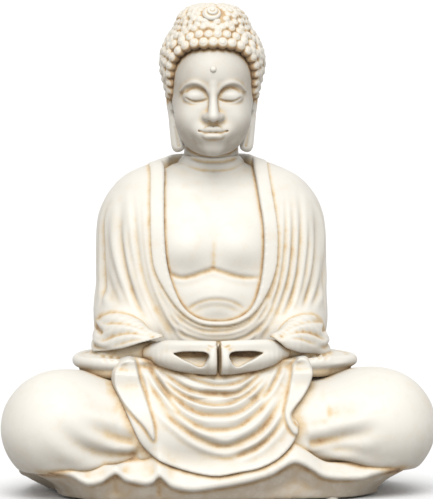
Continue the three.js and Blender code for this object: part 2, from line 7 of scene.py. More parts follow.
import bpy
import numpy as np
import openvdb
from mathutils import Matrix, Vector


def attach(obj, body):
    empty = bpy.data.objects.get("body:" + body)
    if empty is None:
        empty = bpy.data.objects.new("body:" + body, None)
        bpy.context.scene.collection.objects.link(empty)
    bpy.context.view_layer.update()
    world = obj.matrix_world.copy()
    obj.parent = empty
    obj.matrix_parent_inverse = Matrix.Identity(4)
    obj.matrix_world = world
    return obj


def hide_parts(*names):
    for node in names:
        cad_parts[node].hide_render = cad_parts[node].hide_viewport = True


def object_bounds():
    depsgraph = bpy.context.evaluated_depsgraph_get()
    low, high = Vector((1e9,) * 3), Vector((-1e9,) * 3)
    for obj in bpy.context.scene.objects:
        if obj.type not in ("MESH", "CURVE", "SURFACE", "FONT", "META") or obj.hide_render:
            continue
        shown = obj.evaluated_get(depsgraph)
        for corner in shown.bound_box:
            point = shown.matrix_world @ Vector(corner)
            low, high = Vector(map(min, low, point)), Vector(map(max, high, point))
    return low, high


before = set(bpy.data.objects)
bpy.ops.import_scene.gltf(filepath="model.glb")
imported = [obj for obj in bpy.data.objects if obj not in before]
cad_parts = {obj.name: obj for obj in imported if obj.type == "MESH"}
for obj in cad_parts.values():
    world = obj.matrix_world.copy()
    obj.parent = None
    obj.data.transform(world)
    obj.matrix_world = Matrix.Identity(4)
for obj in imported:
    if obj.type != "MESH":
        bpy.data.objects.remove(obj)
cad_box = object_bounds()
MM = 0.001
SIDES = (("left", 1), ("right", -1))  # the statue's own left is towards +X
EMPTY = 60.0  # distance given where the clay holds nothing


# ---- Clay: soft-edged forms joined in a grid of distances ----


def soft_min(a, b, blend):
    """The nearer of two distances, with a fillet of about that size where they meet."""
    overlap = np.maximum(blend - np.abs(a - b), 0) / blend
    return np.minimum(a, b) - overlap * overlap * blend / 4


class Clay:
    """A block of clay. Forms are added to it or cut out of it with a soft edge, then it is skinned."""

    def __init__(self, low, high, step, reach=0.0):
        self.step = step
        self.reach = reach  # how far from its forms the distances have to be true
        self.low = np.array(low, float) - 3 * step
        counts = np.ceil((np.array(high, float) + 3 * step - self.low) / step).astype(int) + 1
        self.axes = [(self.low[i] + step * np.arange(counts[i])).astype(np.float32) for i in range(3)]
        self.distance = np.full(counts, EMPTY, np.float32)

    @property
    def places(self):
        """The grid's x, y and z, shaped to be used together."""
        x, y, z = self.axes
        return x[:, None, None], y[None, :, None], z[None, None, :]

    def front_outline(self, line):
        """Signed distance of the grid to an outline drawn on the front view."""
        return outline_distance(line, self.axes[0][:, None], self.axes[2][None, :])[:, None, :]

    def _window(self, low, high, margin):
        slices = []
        for axis, a, b in zip(self.axes, low, high):
            first = int(np.searchsorted(axis, a - margin))
            last = int(np.searchsorted(axis, b + margin))
            slices.append(slice(max(first - 1, 0), max(last + 1, 1)))
        return tuple(slices)

    def work(self, form, low, high, blend, cut=False):
        """Adds a form to the clay, or cuts it out, within a box that holds it."""
        window = self._window(low, high, max(blend + 3 * self.step, self.reach))
        x, y, z = (a[s] for a, s in zip(self.axes, window))
        if not (len(x) and len(y) and len(z)):
            return
        there = form(x[:, None, None], y[None, :, None], z[None, None, :])
        here = self.distance[window]
        if cut:
            self.distance[window] = -soft_min(-here, there, blend)
        else:
            self.distance[window] = soft_min(here, there, blend)

    def ball(self, centre, radii, blend=4.0, cut=False, tip=0.0):
        """An ellipsoid, tipped about X by an angle."""
        centre, radii = np.array(centre, float), np.array(radii, float) * np.ones(3)
        c, s = math.cos(tip), math.sin(tip)

        def form(x, y, z):
            x, y, z = x - centre[0], y - centre[1], z - centre[2]
            local = (x, c * y + s * z, c * z - s * y)
            reach = np.sqrt(sum((p / r) ** 2 for p, r in zip(local, radii)))
            slope = np.sqrt(sum((p / (r * r)) ** 2 for p, r in zip(local, radii)))
            return (reach * (reach - 1) / np.maximum(slope, 1e-6)).astype(np.float32)

        span = np.full(3, radii.max()) if tip else radii
        self.work(form, centre - span, centre + span, blend, cut)

    def limb(self, points, radii, blend=4.0, cut=False):
        """A round limb through points, whose radius changes from point to point."""
        radii = np.array(radii, float) * np.ones(len(points))
        if len(points) > 2:
            run = smooth_line(np.column_stack([points, radii]), 4)
            points, radii = run[:, :3], run[:, 3]
        points = np.array(points, float)

        def form(x, y, z):
            best = None
            for a, b, ra, rb in zip(points[:-1], points[1:], radii[:-1], radii[1:]):
                run = b - a
                share = ((x - a[0]) * run[0] + (y - a[1]) * run[1] + (z - a[2]) * run[2]) / (run @ run)
                share = np.clip(share, 0, 1)
                off = (x - a[0] - share * run[0]) ** 2
                off = off + (y - a[1] - share * run[1]) ** 2 + (z - a[2] - share * run[2]) ** 2
                near = np.sqrt(off) - (ra + (rb - ra) * share)
                best = near if best is None else np.minimum(best, near)
            return best.astype(np.float32)

        reach = radii.max()
        self.work(form, points.min(0) - reach, points.max(0) + reach, blend, cut)

    def field(self, form, blend=4.0, cut=False):
        """A form given by its own distance function, anywhere in the block."""
        everywhere = [a[0] for a in self.axes], [a[-1] for a in self.axes]
        self.work(form, *everywhere, blend, cut)

    def sample(self, x, y, z):
        """The distance at places inside the block, blended between grid points; outside it, EMPTY."""
        x, y, z = np.broadcast_arrays(x, y, z)
        shape = x.shape
        inside = np.ones(x.size, bool)
        cells, shares = [], []
        for i, values in enumerate((x, y, z)):
            t = (values.ravel() - self.axes[i][0]) / self.step
            inside &= (t >= 0) & (t <= len(self.axes[i]) - 1)
            cell = np.clip(t.astype(int), 0, len(self.axes[i]) - 2)
            cells.append(cell)
            shares.append(np.clip(t - cell, 0, 1))
        total = np.zeros(x.size)
        for corner in range(8):
            picks = [(corner >> i) & 1 for i in range(3)]
            weight = np.ones(x.size)
            for share, pick in zip(shares, picks):
                weight = weight * (share if pick else 1 - share)
            total += weight * self.distance[tuple(c + p for c, p in zip(cells, picks))]
        return np.where(inside, total, EMPTY).reshape(shape)

    def skin(self):
        band = 3 * self.step
        for edge in (0, -1):
            self.distance[edge, :, :] = self.distance[:, edge, :] = self.distance[:, :, edge] = band
        grid = openvdb.FloatGrid(band)
        grid.copyFromArray(np.clip(self.distance, -band, band))
        grid.transform = openvdb.createLinearTransform(voxelSize=self.step)
        points, quads = grid.convertToQuads(isovalue=0.0)
        return Skin(np.array(points, float) + self.low, np.array(quads, int))


# ---- Curves ----


def smooth_line(points, per_span=10):
    """A smooth line through points (Catmull-Rom), in as many coordinates as they have."""
    p = np.array(points, float)
    p = np.vstack([2 * p[0] - p[1], p, 2 * p[-1] - p[-2]])
    t = np.linspace(0, 1, per_span, endpoint=False)[:, None]
    spans = []
    for a, b, c, d in zip(p[:-3], p[1:-2], p[2:-1], p[3:]):
        spans.append(0.5 * (2 * b + (c - a) * t + (2 * a - 5 * b + 4 * c - d) * t**2
                            + (3 * b - a - 3 * c + d) * t**3))
    return np.vstack([*spans, p[-2]])


def nearest_on(line, at):
    """For each place: distance to the line, its signed side of it, and how far along it, 0 to 1."""
    best = np.full(len(at), 1e9)
    side = np.zeros(len(at))
    along = np.zeros(len(at))
    lengths = np.linalg.norm(np.diff(line, axis=0), axis=1)
    starts = np.concatenate([[0], np.cumsum(lengths)])
    for i, (a, b) in enumerate(zip(line[:-1], line[1:])):
        run = b - a
        rel = at - a
        share = np.clip(rel @ run / max(run @ run, 1e-9), 0, 1)
        off = rel - share[:, None] * run
        distance = np.sqrt((off * off).sum(1))
        closer = distance < best
        best = np.where(closer, distance, best)
        turn = run[0] * rel[:, 1] - run[1] * rel[:, 0]
        side = np.where(closer, np.sign(turn), side)
        along = np.where(closer, (starts[i] + share * lengths[i]) / starts[-1], along)
    return best, side * best, along


def ease(value, low, high):
    """0 below low, 1 above high, and a smooth step between them."""
    t = np.clip((value - low) / (high - low), 0, 1)
    return t * t * (3 - 2 * t)


# ---- Skin: the surface, carved in fine detail ----


class Skin:
    """A surface of four-sided faces, carved by moving its points.

    wash_and_shade is how much tan wash each point carries, with painted shade added in some hollows, recesses
    and undersides, and painted_shade how much it is darkened grey as painted shade.
    """

    def __init__(self, at, faces):
        self.at, self.faces = at, faces
        if self._volume() < 0:  # the faces are wound inside out
            self.faces = self.faces[:, ::-1]
        self.wash_and_shade = np.zeros(len(at))
        self.painted_shade = 0.0
        pairs = np.vstack([self.faces[:, [i, (i + 1) % 4]] for i in range(4)])
        self.pairs = pairs
        self.degree = np.bincount(pairs[:, 0], minlength=len(at)).astype(float)
        self.degree += np.bincount(pairs[:, 1], minlength=len(at))
        self.degree[self.degree == 0] = 1

    def _volume(self):
        a, b, c, d = (self.at[self.faces[:, i]] for i in range(4))
        return (np.cross(c - a, d - b) * (a + b + c + d)).sum() / 24

    def normals(self):
        a, b, c, d = (self.at[self.faces[:, i]] for i in range(4))
        across = np.cross(c - a, d - b)
        total = np.zeros_like(self.at)
        for axis in range(3):
            for corner in range(4):
                total[:, axis] += np.bincount(
                    self.faces[:, corner], weights=across[:, axis], minlength=len(self.at))
        return total / np.maximum(np.linalg.norm(total, axis=1), 1e-9)[:, None]

    def _average(self, values):
        first, second = self.pairs[:, 0], self.pairs[:, 1]
        n = len(self.at)
        total = np.bincount(first, weights=values[second], minlength=n)
        return (total + np.bincount(second, weights=values[first], minlength=n)) / self.degree

    def relax(self, times=1, weight=0.5, where=1.0):
        """Rubs the surface smooth, everywhere or where a weight says."""
        for _ in range(times):
            for axis in range(3):
                mean = self._average(self.at[:, axis])
                self.at[:, axis] += weight * where * (mean - self.at[:, axis])

    def blur(self, values, times):
        for _ in range(times):
            values = 0.5 * values + 0.5 * self._average(values)
        return values

    def push(self, amount, normals=None):
        self.at += (self.normals() if normals is None else normals) * np.asarray(amount)[..., None]

    def stain_and_shade(self, amount):
        """Brings the wash_and_shade up to at least this much: tan wash, and at some callers painted shade."""
        self.wash_and_shade = np.maximum(self.wash_and_shade, amount)

    def facing(self, view, soft=0.35):
        """1 where the surface faces a side of the statue, easing to 0 where it turns away."""
        axis, sign = {"front": (1, -1), "back": (1, 1), "left": (0, 1), "right": (0, -1)}[view]
        return ease(self.normals()[:, axis] * sign, 0.02, soft)

    def flat(self, view):
        return self.at[:, [0, 2]] if view in ("front", "back") else self.at[:, [1, 2]]

    def carve(self, folds, view="front", within=None, swell=0.55, stain_and_shade=1.0, taper=(0.34, 0.34)):
        """Presses folds into the surface. Each is (points, depth, width): a valley along a smooth line, with
        a swell on both sides, that fades in and out over the two tapers, which are shares of its length."""
        normals = self.normals()
        face = self.facing(view)
        if within is not None:
            face = face * within
        flat = self.flat(view)
        total = np.zeros(len(self.at))
        wash_and_shade = np.zeros(len(self.at))
        for points, depth, width in folds:
            line = smooth_line(points)
            reach = 3.2 * width
            low, high = line.min(0) - reach, line.max(0) + reach
            near = np.where(((flat > low) & (flat < high)).all(1) & (face > 0))[0]
            if not len(near):
                continue
            distance, _, along = nearest_on(line, flat[near])
            ends = ease(along, 0.0, taper[0]) * ease(1 - along, 0.0, taper[1])
            ends = np.where((along <= 0) | (along >= 1), 0, ends)
            valley = np.exp(-((distance / width) ** 2))
            ridge = np.exp(-(((distance - 1.9 * width) / (0.95 * width)) ** 2))
            total[near] += ends * depth * (swell * ridge - valley)
            wash_and_shade[near] = np.maximum(wash_and_shade[near], ends * valley**2 * stain_and_shade * np.clip(depth / 6, -1, 0.5))
        self.push(total * face, normals)
        self.stain_and_shade(wash_and_shade * face)

    def soil_and_shade(self, fine=0.22, broad=0.7):
        """Lets the tan wash settle in fine creases, and paints shade into broad valleys."""
        normals = self.normals()
        # the first pass is tan wash in fine creases, the second is painted shade in broad valleys
        for times, size, strength in ((6, fine, 0.7), (40, broad, 0.42)):
            kept = self.at.copy()
            self.relax(times)
            depth = ((self.at - kept) * normals).sum(1)
            self.at = kept
            self.stain_and_shade(strength * np.clip(depth / size, 0, 1))
        self.wash_and_shade = self.blur(self.wash_and_shade, 3)

    def meet(self, clays, reach, strength=0.9):
        """The wash is thick where this piece meets its neighbours."""
        for clay in clays:
            self.stain_and_shade(strength * ease(-clay.sample(*self.at.T), -reach, 0.5))

    def near_outline(self, *outlines):
        """Signed distance, seen from the front, to the nearest of some closed outlines."""
        return np.min([outline_distance(line, self.at[:, 0], self.at[:, 2]) for line in outlines], axis=0)

    def piece(self, name, *nodes):
        """Makes the surface a piece of cast stone that stands in for nodes of the frame."""
        mesh = bpy.data.meshes.new(name)
        mesh.from_pydata((self.at * MM).tolist(), [], self.faces.tolist())
        mesh.polygons.foreach_set("use_smooth", np.ones(len(self.faces), bool))
        normals = self.normals()
        # painted shade: grey on surfaces that face down and to the sides, where less light falls
        beneath, aside = ease(-normals[:, 2], -0.2, 0.8), ease(np.abs(normals[:, 0]), 0.35, 1.0)
        painted_shade = self.blur(self.painted_shade + 0.75 * beneath + 0.22 * aside, 12)
        for layer, amount in (("wash_and_shade", self.wash_and_shade), ("painted_shade", painted_shade)):
            values = mesh.attributes.new(layer, "FLOAT", "POINT").data
            values.foreach_set("value", np.clip(amount, 0, 1).astype(np.float32))
        mesh.materials.append(STONE)
        obj = bpy.data.objects.new(name, mesh)
        bpy.context.scene.collection.objects.link(obj)
        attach(obj, "root")
        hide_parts(*nodes)


# ---- Materials ----


def cast_stone():
    """Cream cast stone with a fine grain, a tan wash in its hollows that also carries painted shade, and
    painted grey shade on its undersides and sides.
    """
    material = bpy.data.materials.new("antiqued_cast_stone")
    material.use_nodes = True
    nodes, links = material.node_tree.nodes, material.node_tree.links
    shader = nodes["Principled BSDF"]
    place = nodes.new("ShaderNodeTexCoord").outputs["Object"]

    def noise(scale, detail, roughness):
        node = nodes.new("ShaderNodeTexNoise")
        node.inputs["Scale"].default_value = scale
        node.inputs["Detail"].default_value = detail
        node.inputs["Roughness"].default_value = roughness
        links.new(place, node.inputs["Vector"])
        return node.outputs["Fac"]

    def ramp(value, stops):
        node = nodes.new("ShaderNodeValToRGB")
        while len(node.color_ramp.elements) < len(stops):
            node.color_ramp.elements.new(0.5)
        for element, (position, colour) in zip(node.color_ramp.elements, stops):
            element.position = position
            element.color = (*colour, 1)
        links.new(value, node.inputs["Fac"])
        return node.outputs["Color"]

    def math_node(operation, a, b):
        node = nodes.new("ShaderNodeMath")
        node.operation = operation
        node.use_clamp = operation == "ADD"
        for socket, value in zip(node.inputs, (a, b)):
            if isinstance(value, (int, float)):
                socket.default_value = value
            else:
                links.new(value, socket)
        return node.outputs["Value"]

    def layer(name):
        node = nodes.new("ShaderNodeAttribute")
        node.attribute_name = name
        return node.outputs["Fac"]

    blotch = noise(70, 5, 0.62)
    grain = noise(900, 3, 0.6)
    uneven = math_node("ADD", math_node("MULTIPLY", blotch, 1.1), math_node("MULTIPLY", grain, 0.45))
    settled = math_node("MULTIPLY", layer("wash_and_shade"), uneven)
    film = math_node("MULTIPLY", math_node("SUBTRACT", blotch, 0.5), 0.5)
    amount = math_node("ADD", settled, math_node("MAXIMUM", film, 0.0))
    # cream to tan to near black: the darker stops also colour painted shade in deep hollows
    colour = ramp(amount, (
        (0.0, (0.505, 0.485, 0.44)),
        (0.14, (0.50, 0.46, 0.39)),
        (0.36, (0.475, 0.38, 0.25)),
        (0.62, (0.37, 0.245, 0.13)),
        (0.95, (0.13, 0.08, 0.045)),
    ))
    # painted shade: the colour is multiplied towards grey by the painted_shade attribute
    shaded = nodes.new("ShaderNodeMix")
    shaded.data_type = "RGBA"
    shaded.blend_type = "MULTIPLY"
    patchy = math_node("ADD", 0.55, math_node("MULTIPLY", blotch, 0.9))
    links.new(math_node("MULTIPLY", layer("painted_shade"), patchy), shaded.inputs[0])
    links.new(colour, shaded.inputs[6])
    shaded.inputs[7].default_value = (0.52, 0.48, 0.44, 1)
    links.new(shaded.outputs[2], shader.inputs["Base Color"])
    roughness = ramp(amount, ((0.0, (0.55,) * 3), (0.6, (0.85,) * 3)))
    links.new(roughness, shader.inputs["Roughness"])
    bump = nodes.new("ShaderNodeBump")
    bump.inputs["Strength"].default_value = 0.18
    bump.inputs["Distance"].default_value = 0.0006
    links.new(math_node("ADD", grain, math_node("MULTIPLY", amount, 0.6)), bump.inputs["Height"])
    links.new(bump.outputs["Normal"], shader.inputs["Normal"])
    return material


STONE = cast_stone()


# ---- Forms and outlines ----


def loft(levels, power=2.5):
    """A body given level by level: (z, half width, front, back), smooth in between."""
    dense = smooth_line(levels, 12)

    def form(x, y, z):
        z_flat = z.ravel()
        half, front, back = (np.interp(z_flat, dense[:, 0], dense[:, i]).reshape(z.shape) for i in (1, 2, 3))
        slope = np.gradient(dense[:, 1], dense[:, 0])
        slope = np.interp(z_flat, dense[:, 0], slope).reshape(z.shape)
        depth = (back - front) / 2
        reach = (np.abs(x / half) ** power + np.abs((y - (front + back) / 2) / depth) ** power) ** (1 / power)
        off = (reach - 1) * np.minimum(half, depth) / np.sqrt(1 + slope * slope)
        return np.maximum(off, np.maximum(z - dense[-1, 0], dense[0, 0] - z)).astype(np.float32)

    return form


def outline_distance(line, across, up):
    """Signed distance to a closed outline, negative inside, over a flat grid of places."""
    places = np.stack(np.broadcast_arrays(across, up), -1).reshape(-1, 2)
    loop = np.vstack([line, line[:1]])
    distance = nearest_on(loop, places)[0]
    inside = np.zeros(len(places), bool)
    for (ax, ay), (bx, by) in zip(loop[:-1], loop[1:]):
        crosses = (ay > places[:, 1]) != (by > places[:, 1])
        if ay != by:
            inside ^= crosses & (places[:, 0] < (bx - ax) * (places[:, 1] - ay) / (by - ay) + ax)
    return np.where(inside, -distance, distance).reshape(np.broadcast(across, up).shape)


def mirrored(points):
    return [(-p[0], *p[1:]) for p in points]


# ---- Legs ----


KNEE = (162, -68, 70.5)
KNEE_RADII = (57, 58, 53)
HIP = (66, 62, 72)


def legs_clay():
    clay = Clay((-220, -130, 14), (220, 132, 136), 2.0)
    clay.ball((0, 58, 68), (132, 74, 58), blend=20)
    for _, sign in SIDES:
        knee = (sign * KNEE[0], KNEE[1], KNEE[2])
        clay.ball(knee, KNEE_RADII, blend=20)
        clay.limb([(sign * HIP[0], HIP[1], HIP[2]), knee], [61, 51], blend=22)
        clay.limb([(sign * 156, -70, 68), (sign * 30, -66, 64)], [51, 54], blend=22)
    clay.ball((0, -50, 68), (122, 74, 56), blend=22)
    clay.field(lambda x, y, z: z - 18, blend=8, cut=True)
    # under the knees the hem takes over from the legs higher up
    clay.field(lambda x, y, z: z - 8 - 19 * ease(np.abs(x), 112, 146) * ease(-y, -10, 40), blend=3, cut=True)
    return clay


LEG_FOLDS = (
    ([(-152, 88), (-132, 75), (-110, 66), (-88, 61)], 3.6, 7.0),
    ([(-176, 94), (-163, 75), (-142, 57), (-116, 48), (-82, 46)], 4.2, 8.5),
    ([(-204, 34), (-176, 25), (-146, 25), (-110, 31), (-66, 36)], 3.5, 5.0),
    ([(-128, 60), (-108, 55), (-86, 54)], -2.0, 4.5),
    ([(166, 79), (142, 69), (114, 60), (84, 54)], 4.0, 7.0),
    ([(150, 50), (118, 52), (84, 47)], 2.6, 5.0),
    ([(204, 36), (176, 26), (150, 26), (118, 36), (70, 43)], 3.6, 5.5),
    ([(142, 60), (118, 56), (86, 50)], -2.4, 4.5),
    ([(150, 100), (128, 92), (104, 90)], 1.2, 7.0),
    ([(-142, 108), (-124, 98), (-104, 94)], 1.2, 7.0),
)
LEG_SIDE_FOLDS = (
    ([(-70, 108), (-30, 96), (20, 80), (70, 62)], 2.6, 6.0),
    ([(-60, 60), (-20, 52), (30, 44), (80, 40)], 2.4, 6.0),
    ([(-40, 124), (0, 114), (50, 104)], 2.2, 6.0),
)
LEG_BACK_FOLDS = (
    ([(-150, 84), (-90, 62), (-30, 52), (0, 50), (30, 52), (90, 62), (150, 84)], 2.6, 6.0),
    ([(-120, 106), (-70, 88), (0, 80), (70, 88), (120, 106)], 2.4, 5.5),
    ([(-150, 40), (-80, 34), (0, 30), (80, 34), (150, 40)], 2.4, 5.0),
)


# ---- Torso, robe and chest ----


TORSO_LEVELS = (
    (112, 98, -56, 110), (124, 106, -62, 113), (140, 112, -66, 116), (165, 114.5, -68, 118),
    (200, 117, -66, 118),
    (240, 117.5, -62, 117), (268, 117, -57, 114), (284, 115, -51, 108), (297, 109.5, -44, 101),
    (308, 102, -36, 94), (317, 95, -29, 88), (325, 84, -22, 80), (333, 66, -15, 70), (338, 50, -10, 62),
    (342, 40, -6, 55),
)
ROBE_EDGE = smooth_line([
    (-50, 360), (-50, 338), (-53, 303), (-54, 270), (-52, 238), (-46, 214), (-36, 193), (-21, 181),
    (-2, 177.5),
    (18, 180), (33, 190), (42, 210), (46.5, 238), (47.5, 270), (44, 303), (41, 338), (41, 360)], 6)
BAND = (5.0, 14.5)  # width of the robe's edge, under the opening and at its sides
NECK = (-1, 12)  # x and y of the neck's middle


def opening_form(x, y, z):
    """How far outside the robe's opening: a long U down the front, and round the back of the neck."""
    front = np.maximum(outline_distance(ROBE_EDGE, x, z), y - NECK[1] - 2)
    behind = np.hypot(x - NECK[0] + 3, y - NECK[1]) - 41
    behind = np.maximum(behind, 318 - z)
    return soft_min(front, behind, 10).astype(np.float32)


def robe_clay():
    clay = Clay((-119, -72, 110), (119, 120, 346), 1.5)
    clay.field(loft(TORSO_LEVELS), blend=1)
    for _, sign in SIDES:
        clay.limb([(sign * 80, 26, 286), (sign * 84, 22, 235), (sign * 83, 10, 176)], [26, 27, 27], blend=12)
    for _, sign in SIDES:  # the robe swells out to meet the top of each sleeve
        clay.limb(arm_points(sign, [*ARM_LINE, (64, -93, 160)]), [20.5, 22.5, 19.5, 12.5, 6.5], blend=25)
    clay.field(opening_form, blend=3.0, cut=True)
    return clay


def chest_clay():
    clay = Clay((-62, -72, 165), (56, 50, 346), 1.2)
    x, y, z = clay.places
    set_back = 5.5  # the chest lies this far inside the robe
    clay.distance = (loft(TORSO_LEVELS)(x, y, z) + set_back).astype(np.float32)
    for _, sign in SIDES:
        clay.ball((-4 + sign * 24, -25.5, 250), (31, 34.5, 27.5), blend=13)
    clay.ball((-2, -14, 200), (39, 47.5, 29), blend=13)
    clay.limb([(*NECK, 318), (NECK[0], NECK[1] - 2, 346)], [30, 28], blend=14)
    tucked_under = opening_form(x, y, z) - 3.0
    neck_top = z - 343.5
    clay.distance = np.maximum(np.maximum(clay.distance, tucked_under), neck_top).astype(np.float32)
    return clay


ROBE_FOLDS = (
    # the statue's right, from the band outwards
    ([(-71, 316), (-72, 300), (-71.5, 262), (-67, 230), (-60, 206), (-50.5, 186), (-40, 168),
      (-30, 157)], 1.275, 1.875),
    ([(-76, 318), (-77, 300), (-76, 262), (-72, 230), (-65, 206), (-56, 186), (-46, 168),
      (-37, 156)], 2.21, 2.5),
    ([(-82, 316), (-83, 300), (-82, 262), (-78, 230), (-71, 206), (-62, 186), (-52, 168),
      (-44, 155)], 3.06, 3.125),
    ([(-90, 300), (-90, 262), (-85, 230), (-78.5, 206), (-70, 186), (-60, 168), (-52, 155)], 2.04, 2.625),
    ([(-95, 312), (-97, 290), (-98.5, 262), (-94, 230), (-87, 206), (-78.5, 186), (-69, 168),
      (-62, 156)], 3.23, 3.5),
    ([(-106, 276), (-107, 250), (-103, 226), (-95, 204), (-86, 186), (-76, 168), (-70, 158)], 2.21, 3.125),
    ([(-110, 290), (-113, 262), (-112, 232), (-105, 206), (-94, 186), (-82, 172)], 2.72, 4),
    ([(-116, 232), (-112, 206), (-102, 187), (-90, 174)], 2.04, 3.25),
    # under the opening
    ([(-66, 228), (-58, 206), (-48, 189), (-36, 177), (-20, 169), (-3, 167), (16, 169), (31, 176),
      (43, 190),
      (53, 206), (60, 228)], 1.615, 2),
    ([(-62, 206), (-53, 189), (-40, 174), (-21, 164.5), (-3, 162), (17, 164), (34, 172), (47, 188),
      (56, 204)], 1.7, 2),
    ([(-54, 180), (-42, 168), (-22, 159.5), (-3, 157), (18, 159), (36, 167), (50, 180)], 1.87, 2.25),
    # the statue's left
    ([(65, 316), (66, 300), (65, 262), (61.5, 230), (55, 206), (47, 186), (37, 170),
      (26, 158)], 1.275, 1.875),
    ([(70, 316), (71.5, 296), (70.5, 262), (67, 230), (61, 206), (52.5, 186), (42, 169),
      (33, 156)], 2.21, 2.5),
    ([(77, 312), (79, 292), (78.5, 262), (75.5, 230), (69, 206), (60.5, 186), (49, 168),
      (41, 155)], 2.72, 3),
    ([(86, 316), (87.5, 290), (87, 262), (84, 230), (78, 206), (69, 186), (57, 168),
      (49, 155)], 3.06, 3.25),
    ([(94, 300), (96, 262), (92.5, 230), (86.5, 206), (77.5, 186), (66, 168), (58, 156)], 2.04, 2.75),
    ([(102, 304), (105, 280), (105, 250), (101, 222), (93, 200), (82, 180), (70, 163)], 3.06, 3.75),
    ([(112, 262), (112, 230), (106, 206), (95, 187), (82, 172)], 2.21, 3.5),
)
ROBE_BACK_FOLDS = (
    ([(-84, 318), (-60, 292), (-24, 278), (10, 276), (50, 288), (84, 316)], 3.0, 4.5),
    ([(-98, 304), (-70, 268), (-26, 248), (16, 246), (62, 262), (98, 300)], 3.2, 5.0),
    ([(-106, 282), (-76, 240), (-28, 218), (20, 216), (68, 234), (106, 278)], 3.2, 5.2),
    ([(-110, 252), (-80, 212), (-30, 190), (20, 188), (70, 206), (110, 248)], 3.0, 5.0),
    ([(-110, 216), (-80, 184), (-30, 164), (20, 162), (72, 180), (110, 214)], 2.8, 4.8),
    ([(-104, 176), (-70, 156), (-20, 144), (30, 144), (74, 156), (104, 176)], 2.4, 4.4),
)
ROBE_SIDE_FOLDS = (
    ([(6, 306), (2, 262), (-6, 214), (-22, 170)], 2.8, 4.4),
    ([(34, 308), (34, 260), (24, 208), (4, 160)], 3.0, 5.0),
    ([(60, 300), (66, 250), (56, 198), (34, 150)], 3.0, 5.0),
    ([(86, 280), (92, 236), (84, 188), (66, 148)], 2.6, 4.6),
)
CHEST_FOLDS = (
    ([(-60, 232), (-51, 227), (-39, 222), (-28, 223), (-16, 227), (-5, 230), (6, 227), (15, 224), (25, 222),
      (38, 221.5), (52, 223)], 1.3, 2.3),
    ([(-36, 187), (-24, 194.5), (-14, 198.5), (-3, 200), (10, 198.5), (20, 194.5), (30, 188)], 0.9, 2.0),
)
CHEST_MIDDLE = (([(-5, 229), (-4.6, 240), (-4, 270)], 1.1, 3.0),)
CHEST_HOLLOWS = (
    ([(-56, 222), (-38, 216), (-16, 221), (-5, 224), (6, 221), (26, 216), (50, 216)], 0.7, 7.0),
    ([(-34, 186), (-2, 194), (28, 186)], 0.8, 4.0),
)


# ---- Hem ----


HEM_HALF = [
    (0, -138), (40, -137.5), (78, -134), (112, -130), (152, -124), (187, -107), (204, -70), (204, -22),
    (190, 32), (164, 78), (124, 113), (74, 134), (0, 141)]
HEM_PLAN = smooth_line(HEM_HALF + mirrored(HEM_HALF[-2:0:-1]) + [HEM_HALF[0]], 5)[:-1]
HEM_EDGE = smooth_line([
    (-215, 32), (-198, 31), (-184, 30), (-157, 28), (-143.5, 21), (-135.5, 18.6), (-124, 21),
    (-118, 25), (-110, 30),
    (-106, 28.4), (-100, 23.5), (-90, 21), (-80, 19.2), (-72, 21.2), (-66, 27.4), (-60.4, 23),
    (-52.4, 16.5), (-34.5, 13),
    (-20.5, 14), (-4.4, 16.5), (6, 18), (26, 22), (47, 28), (57, 33.6), (67, 39), (73, 40), (81, 37),
    (89.5, 32),
    (100, 25.2), (112, 22.5), (129, 21.6), (142, 22), (153, 25), (175, 29), (215, 31)], 8)


def board_outline():
    """The outer corners of the closing board, seen from below."""
    board = bpy.data.objects["closing_board"]
    corners = np.array([(board.matrix_world @ v.co)[:2] for v in board.data.vertices]) / MM
    turns = np.linspace(0, 2 * np.pi, 96, endpoint=False)
    outermost = np.argmax(corners @ np.array([np.cos(turns), np.sin(turns)]), axis=0)
    return corners[outermost[np.diff(outermost, prepend=-1) != 0]]


def hem_clay():
    clay = Clay((-207, -143, 1.5), (207, 143, 66), 1.8)
    x, y, z = clay.places
    plan = outline_distance(HEM_PLAN, clay.axes[0][:, None], clay.axes[1][None, :])[:, :, None]
    turn = np.arctan2(y, x)
    edge_behind = 15 + 4 * np.sin(9 * turn + 0.6) + 2.5 * np.sin(17 * turn)
    front = ease(-y, -20, 60)
    edge = front * np.interp(x, HEM_EDGE[:, 0], HEM_EDGE[:, 1]) + (1 - front) * edge_behind
    # below its edge the cloth turns under, most of all beneath the knees
    outward = ease(np.abs(x), 110, 200) * ease(-y, -80, 20)
    tuck = 6.0 * ease(edge - z, -1.0, 3.0) + (6 + 42 * outward) * ease(edge - z, 0, 24)
    # above it, it slopes back to the legs
    spread = ease(np.abs(x), 60, 110)
    rise = np.maximum(z - edge - 4, 0) * (0.62 + 0.35 * spread)
    top = z - 64 + 26 * spread
    clay.distance = np.maximum(np.maximum(plan + tuck + 1.5 + rise, top), 1.5 - z).astype(np.float32)

    def board_recess(x, y, z):
        board = outline_distance(board_outline(), x[:, :, 0], y[:, :, 0])[:, :, None]
        return np.maximum(board - 0.5, z - 8.4)

    clay.field(board_recess, blend=0.8, cut=True)
    return clay


# ---- Front apron ----


